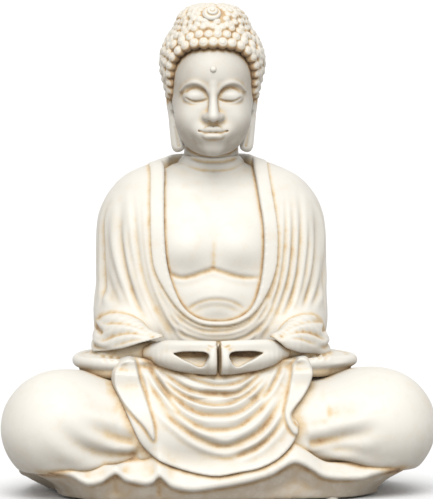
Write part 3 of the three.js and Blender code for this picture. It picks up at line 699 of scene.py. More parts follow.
APRON_EDGE = smooth_line([
    (-94, 145), (-103, 140), (-110, 130), (-110, 117), (-103, 102), (-97, 88), (-91, 74), (-84, 60),
    (-74, 49), (-62, 41),
    (-44, 34), (-24, 29), (-6, 27.3), (16, 31), (34, 34.5), (52, 42.5), (66, 54.6), (74, 67), (76, 78),
    (70, 86),
    (74, 95), (82, 104), (89.5, 114), (93.5, 126), (91, 137), (85, 144), (60, 141), (0, 139),
    (-60, 141)], 6)
RIGHT_LAPEL = smooth_line([
    (-93.5, 145), (-102, 140), (-109, 130), (-109, 117), (-102, 102), (-92, 89), (-81, 77), (-71, 63),
    (-71, 78), (-76, 98),
    (-82, 118), (-85, 131), (-87, 142)], 6)
LEFT_LAPEL = smooth_line([
    (79, 144.5), (85, 143.5), (91.5, 135.5), (93, 125), (88.5, 114), (80.5, 103), (73, 95), (68, 88),
    (70, 80), (75, 73),
    (76, 68), (70, 69), (64, 78), (61.5, 90), (64.5, 101), (68, 112), (70.5, 124), (72, 136)], 6)
APRON_FOLDS = (
    ([(-86, 140), (-82, 124), (-79, 114), (-75, 100)], 1.2, 2.2),
    ([(-75, 139), (-65, 121), (-54, 103), (-42, 90)], 2.2, 2.4),
    ([(-48, 133), (-31, 124.5), (-16, 119.5), (-4, 117.5), (10, 119), (24, 124), (38, 134)], 2.0, 1.9),
    ([(-63, 134), (-51, 123.5), (-38, 115), (-23, 110.5), (-7, 109), (7, 108.5), (18, 111), (33, 123),
      (44, 134)], 2.6, 2.2),
    ([(-66, 128), (-42, 108), (-22, 100.5), (-6, 98.5), (10, 101), (28, 111), (46, 128)], 1.8, 2.0),
    ([(-78, 134), (-64, 119), (-50, 106), (-28, 92), (-7, 89), (15, 92), (37, 107), (54, 126)], 3.0, 3.0),
    ([(-68, 108), (-50, 92), (-28, 78), (-7, 74), (14, 77), (36, 92), (56, 112)], 1.6, 3.0),
    ([(-73, 112), (-62, 96), (-50, 83), (-28, 66), (-7, 57.5), (10.5, 58.5), (37, 73), (54, 95),
      (64, 114)], 3.0, 3.6),
    ([(8, 46), (20, 49.5), (37, 58), (54, 75), (62, 92)], 1.8, 3.0),
    ([(62, 138), (56, 125), (48, 112), (36, 100)], 2.0, 2.2),
)


def apron_clay(legs, hem, sleeves):
    """A sheet that lies on the legs and hem, over a roll of cloth below the hands."""
    clay = Clay((-114, -146, 14), (104, -52, 154), 1.15)
    x, y, z = clay.places
    clay.limb([(-74, -72, 120), (-40, -90, 116), (0, -97, 113), (40, -90, 116), (70, -72, 120)],
              [14, 15, 15, 15, 14], blend=1)
    lap = soft_min(legs.sample(x, y, z), hem.sample(x, y, z), 10)
    under = soft_min(lap, clay.distance, 14)
    for sleeve in sleeves.values():
        under = soft_min(under, sleeve.sample(x, y, z), 18)
    lapels = np.minimum(clay.front_outline(RIGHT_LAPEL), clay.front_outline(LEFT_LAPEL))
    thickness = 5.0 + 3.2 * ease(-lapels, -0.8, 1.4)
    sheet = -soft_min(thickness - under, -clay.front_outline(APRON_EDGE), 3.0)
    clay.distance = np.maximum(sheet, -lap - 6).astype(np.float32)
    return clay


# ---- Sleeves and hands ----


ARM_SHIFT = -4.5  # the arms and hands sit a little to the statue's right
ARM_LINE = [(87, 40, 178), (91, 0, 172), (90, -42, 165), (78, -77, 160)]
SLEEVE_EDGES = {  # lower edge of each sleeve, seen from the front: (distance from the middle, height)
    -1: [(40, 167), (58, 164.8), (64, 163.5), (79, 159), (94, 153), (109, 148.5), (129, 144), (160, 143)],
    1: [(40, 170), (58, 163), (63, 159), (70, 153), (85, 147.5), (104, 144.6), (122, 143), (160, 142)],
}


def arm_points(sign, points):
    """Points given from the middle of the arms outwards, placed on one side of the statue."""
    return [(sign * p[0] + ARM_SHIFT, *p[1:]) for p in points]


def arm_folds(sign, folds):
    return [(arm_points(sign, points), *size) for points, *size in folds]


def side_block(sign, near, far, low, high, step, reach=0.0):
    """A block of clay on one side, between two distances from the middle of the arms."""
    left, right = sorted((sign * near + ARM_SHIFT, sign * far + ARM_SHIFT))
    return Clay((left, *low), (right, *high), step, reach)


def sleeve_edge(sign, x):
    """Height of a sleeve's lower edge."""
    edge = np.array(SLEEVE_EDGES[sign], float)
    return np.interp(sign * (x - ARM_SHIFT), edge[:, 0], edge[:, 1])


def sleeve_clay(sign):
    clay = side_block(sign, 40, 160, (-112, 100), (62, 206), 1.15, reach=20)

    def at(points):
        return arm_points(sign, points)

    # the forearm's cloth, down to its lower edge
    clay.limb(at([*ARM_LINE, (61, -97, 159)]), [24, 26, 23, 16, 8], blend=8)
    clay.limb(at([(60, -100, 159), (79, -89, 154), (97, -68, 150), (111, -38, 149), (110, 4, 151)]),
              [4, 6.5, 9, 10, 10], blend=14)
    clay.field(lambda x, y, z: z - sleeve_edge(sign, x), blend=1.0, cut=True)
    # the cloth inside the sleeve's mouth
    clay.limb(at([(64, -86, 151), (84, -70, 146), (104, -44, 143), (110, -6, 143), (102, 34, 145)]),
              [9, 11, 11, 11, 11], blend=2.0)
    # the cloth that has slid down onto the leg, further out on the statue's left
    far = 4.0 + 4.0 * sign
    clay.ball((sign * (98 + far / 2) + ARM_SHIFT, -24, 134.5), (42 + far / 2, 62, 9), blend=6)
    clay.limb(at([(88, -85, 127.5), (106, -79, 127), (120, -65, 127), (128 + far, -46, 126.5),
                  (129 + far, -10, 127), (120, 24, 130)]), 5.6, blend=4)
    clay.limb(at([(90, -87, 135), (108, -81, 136), (123, -68, 136), (134 + far, -46, 135),
                  (136 + far, -10, 134.5), (128, 26, 134.5), (110, 48, 135)]),
              [6, 6, 6, 5.8, 5.8, 6, 6], blend=2.5)
    return clay


SLEEVE_FOLDS = (
    ([(60, 165), (75, 173), (90, 177), (106, 176), (121, 169)], 1.5, 2.3),
    ([(60, 163.5), (74, 168), (88, 169), (102, 165), (113, 158), (122, 149)], 1.9, 2.2),
    ([(62, 162.5), (74, 163.5), (86, 161.5), (98, 156.5), (108, 152)], 0.9, 1.9),
)
HEM_PLEATS = tuple(([(x + 1.5, 144), (x, 137)], 0.8, 2.3) for x in (97, 104.5, 112))
SLEEVE_TOP_PLEATS = (
    ([(-80, 151), (-50, 150), (-10, 154), (30, 160)], 2.4, 2.6),
    ([(-60, 164), (-20, 168), (20, 174)], 2.4, 3.0),
)


HAND_HOLLOW = smooth_line([  # the opening between palm and thumb, seen from the front
    (46, 149.5), (37, 151.4), (26, 151.8), (14, 151.2), (10, 147.5), (12.5, 141.5), (16, 137),
    (21, 136.5), (28, 140),
    (35, 143.2), (41, 146.6), (46, 149.5)], 4)


def hand_clay(sign):
    clay = side_block(sign, 0.3, 86, (-134, 120), (-66, 170), 0.85)

    def at(points):
        return arm_points(sign, points)

    # palm and fingers, thumb above them, and the finger ends
    clay.limb(at([(70, -82, 146.5), (54, -97, 145.5), (35, -105, 143.6), (15, -109, 142.6),
                  (3, -110, 142.4)]), [7.5, 11, 13.8, 15.0, 15.2], blend=5)
    clay.limb(at([(68, -88, 149.5), (54, -100, 155), (36, -110, 156.8), (16, -114, 157.2), (3, -115, 157)]),
              [7.5, 6.8, 5.8, 5.3, 5.1], blend=4)
    clay.limb(at([(6.0, -119, 134), (6.6, -122, 139), (6.6, -121.5, 147), (4.6, -118, 154)]),
              [5.2, 5.6, 5.2, 4], blend=2.2)
    _, y, z = clay.places
    hollow = clay.front_outline(np.array(arm_points(sign, HAND_HOLLOW)))
    hollow = np.maximum(hollow, y + 115 - 0.95 * (z - 138))
    clay.distance = -soft_min(-clay.distance, hollow, 1.6).astype(np.float32)

    def slot(x, y, z):
        return sign * (x - ARM_SHIFT) - 0.3 - 1.7 * ease(-y, 108, 119)

    clay.field(slot, blend=2.0, cut=True)
    return clay


HAND_FOLDS = (
    ([(60, 137), (44, 131), (28, 129.5), (16, 130)], 0.6, 1.6),
    ([(3.0, 162), (2.6, 158.5), (6.5, 156.5), (10.5, 158), (10.5, 162)], 0.5, 0.9),
)


# ---- Head ----


HEAD_AXIS = (0, -4)
HEAD_SHIFT = -1.2  # the head sits a little to the statue's right and is turned that way
HEAD_TURN = math.radians(-4)


def turn_head(skin):
    c, s = math.cos(HEAD_TURN), math.sin(HEAD_TURN)
    x = skin.at[:, 0] - HEAD_AXIS[0]
    y = skin.at[:, 1] - HEAD_AXIS[1]
    skin.at[:, 0] = HEAD_AXIS[0] + HEAD_SHIFT + c * x - s * y
    skin.at[:, 1] = HEAD_AXIS[1] + s * x + c * y


def head_clay():
    clay = Clay((-45, -80, 330), (45, 56, 470), 0.82)
    clay.ball((0, -2, 424), (43, 56, 54), blend=10)
    clay.ball((0, -20, 394), (39, 41, 46), blend=14)
    clay.ball((0, -22, 373), (33.5, 34, 27), blend=12)
    clay.ball((0, -48, 355), (12, 11, 9.5), blend=10)
    clay.ball((0, -20, 430), (38, 41, 30), blend=12)
    for _, sign in SIDES:
        clay.ball((sign * 20, -38, 385), (16, 17, 17), blend=12)
        clay.ball((sign * 16.5, -66.5, 409.5), (14, 11.5, 8.8), blend=9, cut=True)
        clay.ball((sign * 17, -49, 406), (13.5, 10, 8.4), blend=2.4)
        clay.limb([(sign * 5, -60.2, 411), (sign * 10, -60.6, 417), (sign * 19, -58.8, 420.5),
                   (sign * 28, -53.6, 418), (sign * 35, -46, 411)], [0.7, 0.7, 0.7, 0.6, 0.4], blend=5.5)
    clay.limb([(0, -58.5, 418), (0, -62.5, 404), (0, -68, 391), (0, -69.6, 386.5)],
              [4.4, 4.2, 5.4, 6.0], blend=3.5)
    clay.ball((0, -54, 370), (19, 11, 10.5), blend=8)
    for _, sign in SIDES:
        clay.ball((sign * 6.2, -62.5, 385.6), (4.4, 6.6, 4.2), blend=5.0)
        clay.ball((sign * 3.6, -68, 381.2), (2.1, 3.4, 1.7), blend=1.2, cut=True)
    clay.limb([(0, -66.5, 379.5), (0, -66.8, 375)], [1.2, 1.4], blend=2.4, cut=True)
    clay.limb([(-12.5, -59.5, 370.6), (-7, -63.6, 372.4), (-2.6, -65.4, 373.6), (0, -65.2, 372.8),
               (2.6, -65.4, 373.6), (7, -63.6, 372.4), (12.5, -59.5, 370.6)],
              [1.2, 2.7, 3.0, 2.8, 3.0, 2.7, 1.2], blend=1.0)
    clay.limb([(-10.5, -61.2, 367.6), (-4.5, -64.8, 365.8), (4.5, -64.8, 365.8), (10.5, -61.2, 367.6)],
              [1.5, 3.8, 3.8, 1.5], blend=1.2)
    clay.limb([(-14.5, -60.2, 371.6), (-6.5, -67.4, 369.6), (0, -69, 370.2), (6.5, -67.4, 369.6),
               (14.5, -60.2, 371.6)], [1.0, 0.9, 0.9, 0.9, 1.0], blend=0.9, cut=True)
    clay.ball((0, -68.5, 360.8), (9, 5, 3.2), blend=4, cut=True)
    clay.limb([(-1, 14, 326), (-0.5, 10, 372)], [29, 27], blend=7)
    clay.field(lambda x, y, z: z - 333, blend=1, cut=True)
    return clay


FACE_FOLDS = (
    ([(5, 405.2), (9, 402.8), (14, 401.5), (19, 401.3), (24, 402.6), (30, 406)], 1.8, 0.95),
    ([(6.5, 409), (11, 413.6), (17.5, 415.4), (24, 413.4), (30, 408)], 0.6, 1.3),
)
NECK_CREASES = (
    ([(-34, 356), (-18, 346.5), (0, 344), (18, 346.5), (34, 356)], 1.4, 1.4),
    ([(-36, 348), (-18, 339.5), (0, 337.5), (18, 339.5), (36, 348)], 1.3, 1.6),
    ([(-38, 337), (-18, 330.5), (0, 329), (18, 330.5), (36, 337)], 0.6, 1.5),
)


def ear_clay(sign):
    span = sorted((sign * 26, sign * 52))
    clay = Clay((span[0], -20, 342), (span[1], 24, 414), 0.7)

    def at(points):
        return [(sign * p[0], *p[1:]) for p in points]

    clay.ball((sign * 41, 5, 396), (4.2, 10, 14), blend=3)
    clay.limb(at([(41, -4, 392), (43, -3, 402), (44, 4, 409), (44.5, 12, 405), (44, 14, 395), (42, 9, 383),
                  (40, 3, 374)]), [2.4, 2.6, 2.8, 2.8, 2.8, 2.8, 3.2], blend=1.8)
    clay.limb(at([(41, 2, 386), (39, -1, 370), (37, -4, 356), (36, -5, 352.5)]),
              [4.2, 4.8, 5.4, 5.2], blend=3)
    clay.limb(at([(38.5, -2, 380), (35.5, -5, 366), (33, -8, 353.5)]), [3.6, 4.6, 4.8], blend=3)
    clay.limb(at([(38.5, -8, 373), (35, -12.5, 355)]), [1.4, 2.2], blend=1.5, cut=True)
    clay.ball((sign * 45, 3, 394), (3, 5, 8), blend=2, cut=True)
    return clay


# ---- Hair ----


HAIR_TOP = 498.3
HAIR_MIDDLE = (0, -1, 432)
HAIR_LEVELS = (
    (384, 39, -48, 47), (393, 41, -52, 50), (401, 43.5, -54, 53), (410, 45.5, -56, 55.5),
    (418, 47.5, -57, 57), (426, 49.5, -58, 58),
    (434, 51, -58.5, 58.5), (442, 51.2, -58.5, 58.5), (450, 50.2, -58, 57), (459, 47, -56, 54),
    (467, 43, -53, 50), (474, 38.5, -50, 46),
    (479, 36.5, -47.5, 41.5), (485, 34, -45, 38.5), (490.5, 30, -40, 33), (495, 23.5, -32, 26.5),
    (HAIR_TOP, 11, -17, 13),
)
CURL = 6.0  # radius of the curls, away from the crown
HAIR_ROUND = 2.15  # 2 would make the head of hair an ellipse from above
JEWEL_PLACE = np.array([-1.2, -40, 490.4])
JEWEL_FACING = np.array([0, -0.66, 0.7513])
HAIRLINE = (  # angle from the front, height
    (0, 457.5), (18, 457), (34, 453), (46, 444), (55, 430), (61, 414), (67, 404), (78, 401), (100, 402),
    (112, 396), (126, 388), (180, 386))


def hairline_at(angle):
    """Height of the hairline at an angle from the front."""
    return np.interp(np.degrees(np.abs(angle)), *zip(*HAIRLINE))


def hair_profile(angle):
    """The hair's surface from the hairline up to the crown, in one direction from the middle."""
    dense = smooth_line(HAIR_LEVELS, 14)
    across, along = math.sin(angle), -math.cos(angle)
    z = np.arange(hairline_at(angle), HAIR_TOP, 0.4)
    half, front, back = (np.interp(z, dense[:, 0], dense[:, i]) for i in (1, 2, 3))
    middle, depth = (front + back) / 2, (back - front) / 2
    reach = (np.abs(across) / half) ** HAIR_ROUND + (np.abs(along) / depth) ** HAIR_ROUND
    reach = reach ** (-1 / HAIR_ROUND)
    points = np.stack([across * reach, middle + along * reach, z], 1)
    return points, np.concatenate([[0], np.cumsum(np.linalg.norm(np.diff(points, axis=0), axis=1))])


def curl_size(place):
    """Radius of a curl, smaller towards the crown."""
    return CURL - 1.5 * ease(place[..., 2], 462, 480)


def place_along(points, lengths, arc):
    return np.array([np.interp(arc, lengths, points[:, i]) for i in range(3)])


def curl_centres():
    """Rows of curls that follow the hairline, then rings round the crown, with no two too close."""
    centres = []

    def offer(point, least):
        clear = np.linalg.norm(point - JEWEL_PLACE) > 11.5
        least = least * curl_size(point) / CURL
        if clear and all(np.linalg.norm(point - c) >= least for c in centres):
            centres.append(point)

    def row_place(angle, arc):
        points, lengths = hair_profile(angle)
        return place_along(points, lengths, arc), lengths[-1]

    between_rows, between_rings, in_a_row, in_a_ring = 8.6, 6.4, 9.6, 7.2
    for row in range(4):
        arc = 4.2 + between_rows * row
        for side in (1, -1):
            turn = (0.5 * (row % 2)) * math.radians(10.5)
            while turn < math.pi:
                point, length = row_place(side * turn, arc)
                if arc < length - 4:
                    offer(point, 8.0 if row else 7.6)
                while turn < math.pi and np.linalg.norm(row_place(side * turn, arc)[0] - point) < in_a_row:
                    turn += 0.012
    offer(np.array([0, -2, HAIR_TOP]), 7.6)
    for ring in range(20):
        arc = 6.6 + between_rings * ring
        steps = max(6, int(2 * math.pi * min(arc, 50) / in_a_ring))
        for i in range(steps):
            angle = -math.pi + 2 * math.pi * (i + 0.5 * (ring % 2)) / steps
            points, lengths = hair_profile(angle)
            if lengths[-1] - arc > 4:
                offer(place_along(points, lengths, lengths[-1] - arc), 7.6)
    # smaller gaps are filled by chance
    rng = np.random.default_rng(7)
    for _ in range(2600):
        angle = rng.uniform(-math.pi, math.pi)
        points, lengths = hair_profile(angle)
        arc = rng.uniform(4, lengths[-1])
        offer(place_along(points, lengths, arc), 6.3)
    return np.array(centres)


def hair_clay():
    clay = Clay((-58, -68, 380), (58, 66, 500), 0.95)
    clay.field(loft(HAIR_LEVELS, power=HAIR_ROUND), blend=1)
    x, y, z = clay.places
    clay.distance = np.maximum(clay.distance, hairline_at(np.arctan2(x, -y)) - z).astype(np.float32)
    return clay


def add_curls(clay, centres):
    for centre in centres:
        out = (centre - HAIR_MIDDLE) / np.linalg.norm(centre - HAIR_MIDDLE)
        size = curl_size(centre)
        clay.ball(centre - out * 0.32 * size, size, blend=1.0)


def curl_spirals(skin, centres):
    """Presses a spiral groove into each curl, wound left and right by turns."""
    out = centres - HAIR_MIDDLE
    out /= np.linalg.norm(out, axis=1)[:, None]
    nearest = np.zeros(len(skin.at), int)
    at_once = 8000  # points compared with all the curls together
    for start in range(0, len(skin.at), at_once):
        block = slice(start, start + at_once)
        gaps = skin.at[block][:, None, :] - centres[None] - 3.0 * out[None]
        nearest[block] = (gaps**2).sum(2).argmin(1)
    rel = skin.at - centres[nearest]
    normal = out[nearest]
    side = np.cross((0, 0, 1.0), normal)
    side /= np.maximum(np.linalg.norm(side, axis=1), 1e-6)[:, None]
    up = np.cross(normal, side)
    u, v = (rel * side).sum(1), (rel * up).sum(1)
    radius = np.hypot(u, v) * CURL / curl_size(centres)[nearest]
    hand = np.where(nearest % 2 == 0, 1, -1)
    pitch = 2.9
    groove = 0.5 + 0.5 * np.cos(hand * np.arctan2(v, u) - 2 * math.pi * radius / pitch)
    strength = ease(radius, 0.3, 1.2) * ease(4.8 - radius, 0, 1.2)
    skin.push(-0.55 * groove**2 * strength)
    skin.stain_and_shade(0.26 * groove**2 * strength)
    skin.stain_and_shade(0.8 * ease(radius, 3.9, 5.6))


# ---- Jewel and urna ----


def jewel_skin():
    middle, facing = JEWEL_PLACE, JEWEL_FACING
    clay = Clay(middle - 12, middle + 12, 0.5)
    tip = math.atan2(-facing[1], facing[2])
    clay.ball(middle, (9.6, 9.6, 4.4), blend=1, tip=tip)
    clay.ball(middle + facing * 2.2, (6.4, 6.4, 4.2), blend=1, tip=tip)
    skin = clay.skin()
    rel = skin.at - middle
    side, up = np.array([1.0, 0, 0]), np.cross(facing, (1.0, 0, 0))
    u, v = rel @ side, rel @ up
    radius = np.hypot(u, v)
    pitch = 3.6
    groove = 0.5 + 0.5 * np.cos(np.arctan2(v, u) - 2 * math.pi * radius / pitch)
    strength = ease(radius, 0.4, 1.6) * ease(9.2 - radius, 0, 0.8) * ease(rel @ facing, -0.5, 1.5)
    skin.push(-1.1 * groove**3 * strength)
    skin.wash_and_shade = 0.5 * groove**3 * strength
    return skin


def urna_skin():
    clay = Clay((-4, -70, 430), (4, -54, 438), 0.4)
    clay.ball((0, -61.0, 434), (3.6, 4.2, 3.6), blend=1)
    return clay.skin()


# ---- Stage ----


VIEW_HEIGHT = 0.51505  # metres of the statue and its surroundings that the camera takes in
FLOOR_GREY = (0.60, 0.60, 0.60, 1)
CAMERA_ANGLES = (-5, 4)  # degrees round the statue from the front, and up
SUN_ANGLES = (-8, 49)


def towards(azimuth, elevation):
    azimuth, elevation = math.radians(azimuth), math.radians(elevation)
    return Vector((math.sin(azimuth) * math.cos(elevation), -math.cos(azimuth) * math.cos(elevation),
                   math.sin(elevation)))


def stage_and_camera():
    low, high = cad_box
    centre = (low + high) / 2
    height = high.z - low.z
    bpy.ops.mesh.primitive_plane_add(size=80, location=(0, 0, low.z - 0.0005))
    floor = bpy.context.active_object
    floor.name = "studio_floor"
    paint = bpy.data.materials.new("studio_white")
    paint.use_nodes = True
    shader = paint.node_tree.nodes["Principled BSDF"]
    shader.inputs["Base Color"].default_value = FLOOR_GREY
    shader.inputs["Roughness"].default_value = 0.9
    floor.data.materials.append(paint)

    distance = 9.2 * height
    back = towards(*CAMERA_ANGLES)
    camera = bpy.data.objects.new("camera", bpy.data.cameras.new("camera"))
    camera.data.sensor_width = 36
    camera.data.lens = 36 * distance / VIEW_HEIGHT
    aim = Vector((0.0035, 0.0, centre.z - 0.0035))
    camera.location = aim + back * distance
    camera.rotation_euler = (-back).to_track_quat("-Z", "Y").to_euler()
    bpy.context.scene.collection.objects.link(camera)
    bpy.context.scene.camera = camera

    world = bpy.data.worlds.new("studio")
    world.use_nodes = True
    sky = world.node_tree.nodes["Background"]
    sky.inputs["Color"].default_value = (1, 1, 1, 1)
    sky.inputs["Strength"].default_value = 1.0
    bpy.context.scene.world = world
    sun = bpy.data.lights.new("softbox", "SUN")
    sun.energy = 3.4
    sun.angle = math.radians(40)
    key = bpy.data.objects.new("softbox", sun)
    key.rotation_euler = towards(*SUN_ANGLES).to_track_quat("Z", "Y").to_euler()
    key.location = towards(*SUN_ANGLES) * 2
    bpy.context.scene.collection.objects.link(key)
    bpy.context.scene.view_settings.view_transform = "Standard"


# ---- Pieces of plain material, carried over from the CAD ----


def plain_material(name, colour, roughness, metallic=0.0, grain=0.0, scale=300.0):
    material = bpy.data.materials.new(name)
    material.use_nodes = True
    nodes, links = material.node_tree.nodes, material.node_tree.links
    shader = nodes["Principled BSDF"]
    shader.inputs["Roughness"].default_value = roughness
    shader.inputs["Metallic"].default_value = metallic
    noise = nodes.new("ShaderNodeTexNoise")
    noise.inputs["Scale"].default_value = scale
    noise.inputs["Detail"].default_value = 4
    links.new(nodes.new("ShaderNodeTexCoord").outputs["Object"], noise.inputs["Vector"])
    ramp = nodes.new("ShaderNodeValToRGB")
    dark, light = ramp.color_ramp.elements
    dark.position, light.position = 0.3, 0.7
    dark.color = (*(c * (1 - grain) for c in colour), 1)
    light.color = (*colour, 1)
    links.new(noise.outputs["Fac"], ramp.inputs["Fac"])
    links.new(ramp.outputs["Color"], shader.inputs["Base Color"])
    return material


PLAIN = {  # part of the node's name: its material
    "felt_pad": plain_material("pale_felt", (0.46, 0.43, 0.38), 0.95, grain=0.35, scale=1600),
    "board_screw": plain_material("zinc_plated_steel", (0.62, 0.62, 0.60), 0.35, metallic=1.0, grain=0.1),
    "closing_board": plain_material("hard_fibreboard", (0.30, 0.20, 0.12), 0.8, grain=0.25, scale=700),
    "drain_bung": plain_material("black_rubber", (0.03, 0.03, 0.032), 0.7, grain=0.3),
}
PLAIN["dowel"] = plain_material("dowel_steel", (0.55, 0.55, 0.55), 0.4, metallic=1.0, grain=0.1)
PLAIN["seat_pin"] = PLAIN["dowel"]


def paint_plain_nodes():
    for name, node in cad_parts.items():
        for part_of_name, material in PLAIN.items():
            if part_of_name in name:
                node.data.materials.clear()
                node.data.materials.append(material)


# ---- The statue ----


def off_opening(skin):
    """How far each point lies outside the robe's opening."""
    x, y, z = skin.at.T[:, :, None]
    return opening_form(x, y, z)[:, 0]


def finish_legs(legs, hem, apron, sleeves):
    skin = legs.skin()
    skin.relax(3)
    skin.carve(LEG_FOLDS, stain_and_shade=0.16, swell=0.45, taper=(0.55, 0.08))
    for view, folds in (("left", LEG_SIDE_FOLDS), ("right", LEG_SIDE_FOLDS), ("back", LEG_BACK_FOLDS)):
        skin.carve(folds, view)
    skin.soil_and_shade()
    skin.wash_and_shade *= 1 - 0.7 * ease(np.abs(skin.at[:, 0]), 92, 140)
    skin.meet([apron], 13, 0.62)
    skin.meet([apron], 3)
    skin.meet([hem], 7, 0.5)
    skin.meet(sleeves.values(), 7, 0.6)
    skin.piece("crossed_legs", "lap_shell")


def finish_robe(robe, legs, sleeves, hands):
    skin = robe.skin()
    skin.relax(2)
    off = off_opening(skin)
    band = BAND[0] + (BAND[1] - BAND[0]) * ease(skin.at[:, 2], 176, 240)
    skin.push(1.7 * ease(off, 0.2, 1.6) * (1 - ease(off, band - 0.8, band + 0.8)))
    groove = np.exp(-(((off - band - 1.0) / 1.3) ** 2))
    skin.push(-1.1 * groove)
    skin.wash_and_shade = 0.55 * groove
    # tan wash with painted shade on the cut faces inside the opening
    skin.stain_and_shade(0.55 * ease(-off, -0.7, 0.2))
    # the folds stop at the band, and fade out near the sleeves
    beyond = ease(off, band + 0.6, band + 3)
    clear = ease(np.min([sleeve.sample(*skin.at.T) for sleeve in sleeves.values()], axis=0), 1, 10)
    skin.carve(ROBE_FOLDS, within=beyond * clear, taper=(0.42, 0.1), stain_and_shade=0.42)
    skin.carve(ROBE_BACK_FOLDS, "back", within=beyond)
    for view in ("left", "right"):
        skin.carve(ROBE_SIDE_FOLDS, view, within=beyond * clear)
    skin.soil_and_shade(0.55, 1.2)
    skin.meet(hands.values(), 5)
    skin.meet(sleeves.values(), 2.2, 0.7)
    skin.meet([legs], 6)
    skin.piece("robe", "torso_shell")


def finish_chest(chest):
    skin = chest.skin()
    skin.relax(2)
    skin.carve(CHEST_HOLLOWS, swell=0.2, stain_and_shade=0, taper=(0.25, 0.25))
    skin.carve(CHEST_FOLDS, swell=0.12, stain_and_shade=0.65, taper=(0.2, 0.2))
    skin.carve(CHEST_MIDDLE, swell=0.1, stain_and_shade=1.1, taper=(0.05, 0.95))
    skin.carve(NECK_CREASES, swell=0.3, taper=(0.3, 0.3))
    skin.soil_and_shade()
    # tan wash with painted shade where the chest tucks under the robe's edge
    skin.stain_and_shade(0.8 * ease(off_opening(skin), -4.5, 0.3))
    skin.piece("bare_chest", "chest_panel")


def finish_hem(hem, legs, apron):
    skin = hem.skin()
    skin.relax(2)
    skin.soil_and_shade()
    skin.meet([legs, apron], 6)
    # painted shade under the hem's edge, where the cloth turns under: a little tan and much grey
    edge = np.interp(skin.at[:, 0], HEM_EDGE[:, 0], HEM_EDGE[:, 1])
    beneath = ease(edge - skin.at[:, 2], 0, 3)
    skin.stain_and_shade(0.2 * beneath)
    skin.painted_shade = 0.62 * beneath
    skin.piece("gathered_hem", "hem_skirt")


def finish_apron(apron, hands):
    skin = apron.skin()
    skin.relax(1)
    off_lapel = skin.near_outline(RIGHT_LAPEL, LEFT_LAPEL)
    skin.carve(APRON_FOLDS, within=ease(off_lapel, 0.5, 3.0), taper=(0.22, 0.22), stain_and_shade=1.15)
    # tan wash with painted shade along the lapels' edges
    skin.stain_and_shade(0.75 * np.exp(-(((off_lapel - 1.6) / 1.3) ** 2)) * skin.facing("front"))
    skin.soil_and_shade()
    skin.meet(hands.values(), 7)
    skin.piece("front_apron", "front_drape")


def finish_sleeve(side, sign, sleeve, hand, robe, legs):
    skin = sleeve.skin()
    edge = sleeve_edge(sign, skin.at[:, 0])
    above = ease(skin.at[:, 2] - edge, 1.0, 3.5)
    skin.carve(arm_folds(sign, SLEEVE_FOLDS), within=above, stain_and_shade=0.2, swell=0.35, taper=(0.12, 0.3))
    skin.carve(arm_folds(sign, HEM_PLEATS), stain_and_shade=0.12, taper=(0.2, 0.7))
    skin.carve(SLEEVE_TOP_PLEATS, side)
    skin.soil_and_shade()
    # tan wash with painted shade in the recess under the sleeve's edge and under the roll of cloth
    recess = (1 - ease(skin.at[:, 2] - edge, -1.5, 0.3)) * ease(skin.at[:, 2], 140.5, 143.5)
    skin.stain_and_shade(0.42 * recess * skin.facing("front", 0.6))
    skin.stain_and_shade(0.55 * ease(131 - skin.at[:, 2], 0, 2.5))
    skin.meet([robe], 1.4, 0.6)
    skin.meet([hand], 9, 0.6)
    skin.meet([legs], 7, 0.6)
    skin.piece(side + "_forearm_sleeve", side + "_sleeve")


def finish_hand(side, sign, hand, sleeve, apron):
    skin = hand.skin()
    skin.carve(arm_folds(sign, HAND_FOLDS))
    skin.soil_and_shade()
    out, up = sign * (skin.at[:, 0] - ARM_SHIFT), skin.at[:, 2]
    # tan wash in the hollow under the thumb, with painted shade darkest at its top
    inside = ease(-outline_distance(HAND_HOLLOW, out, up), -0.6, 1.2) * ease(skin.at[:, 1], -121, -117)
    inside = inside * (skin.at[:, 1] < -96)
    skin.stain_and_shade(inside * (0.32 + 0.63 * ease(up + 0.06 * out, 145, 147.5)))
    # tan wash with painted shade on the faces where the two hands meet
    skin.stain_and_shade(0.62 * ease(-out, -3.2, -1.8))
    # painted shade: the statue's right hand is greyer than its left
    skin.painted_shade = 0.06 - 0.06 * sign
    skin.meet([sleeve], 5)
    skin.meet([apron], 5)
    skin.piece(side + "_meditating_hand", side + "_hand")


def finish_ear(side, ear, hair):
    skin = ear.skin()
    skin.soil_and_shade()
    skin.meet([hair], 4)
    turn_head(skin)
    skin.piece(side + "_long_ear", side + "_ear")


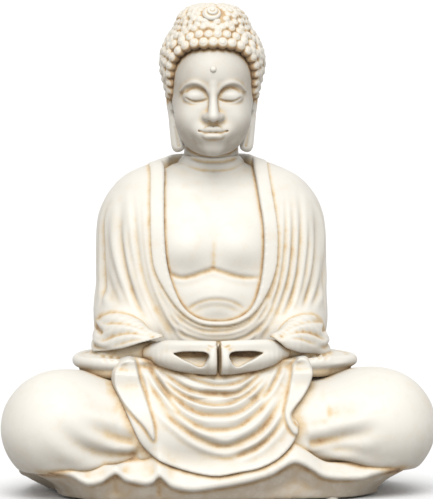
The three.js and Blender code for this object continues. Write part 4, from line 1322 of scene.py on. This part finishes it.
def finish_head(head, hair, ears):
    skin = head.skin()
    out, up = np.abs(skin.at[:, 0]), skin.at[:, 2]
    brow = np.exp(-(((up - 419 + 0.012 * (out - 18) ** 2) / 6) ** 2))
    brow = brow * ease(out, 2, 7) * (skin.at[:, 1] < -35)
    skin.relax(14, 0.6, brow)
    other_side = [(mirrored(points), *size) for points, *size in FACE_FOLDS]
    skin.carve([*FACE_FOLDS, *other_side], swell=0.1, stain_and_shade=2.2, taper=(0.16, 0.16))
    skin.carve(NECK_CREASES, swell=0.3, taper=(0.3, 0.3))
    skin.soil_and_shade(0.13, 0.5)
    # painted shade: the face greyer towards the brow and on surfaces that face the sides
    skin.painted_shade = 0.1 + 0.2 * ease(up, 380, 430) + 0.25 * ease(np.abs(skin.normals()[:, 0]), 0.3, 0.9)
    # painted shadow of the hair on the forehead, over tan wash
    skin.meet([hair], 5, 1.6)
    skin.meet(ears.values(), 3)
    turn_head(skin)
    skin.piece("head_and_neck", "head_shell")


def finish_hair(hair, centres):
    skin = hair.skin()
    hairline = hairline_at(np.arctan2(skin.at[:, 0], -skin.at[:, 1]))
    # painted shadow on the undersides of the curls along the hairline
    rim = ease(-skin.normals()[:, 2], 0.3, 0.8) * ease(hairline + 5 - skin.at[:, 2], 0, 4)
    curl_spirals(skin, centres)
    skin.stain_and_shade(rim)
    turn_head(skin)
    skin.piece("curled_hair", "hair_cap")


def build_statue():
    legs, robe, chest, hem = legs_clay(), robe_clay(), chest_clay(), hem_clay()
    sleeves = {side: sleeve_clay(sign) for side, sign in SIDES}
    apron = apron_clay(legs, hem, sleeves)
    hands = {side: hand_clay(sign) for side, sign in SIDES}
    head, hair = head_clay(), hair_clay()
    centres = curl_centres()
    add_curls(hair, centres)
    ears = {side: ear_clay(sign) for side, sign in SIDES}

    finish_legs(legs, hem, apron, sleeves)
    finish_robe(robe, legs, sleeves, hands)
    finish_chest(chest)
    finish_hem(hem, legs, apron)
    finish_apron(apron, hands)
    for side, sign in SIDES:
        finish_sleeve(side, sign, sleeves[side], hands[side], robe, legs)
        finish_hand(side, sign, hands[side], sleeves[side], apron)
        finish_ear(side, ears[side], hair)
    finish_head(head, hair, ears)
    finish_hair(hair, centres)
    jewel, urna = jewel_skin(), urna_skin()
    turn_head(jewel)
    jewel.piece("crown_swirl", "crown_jewel")
    turn_head(urna)
    urna.piece("brow_urna", "forehead_urna")


stage_and_camera()
build_statue()
paint_plain_nodes()
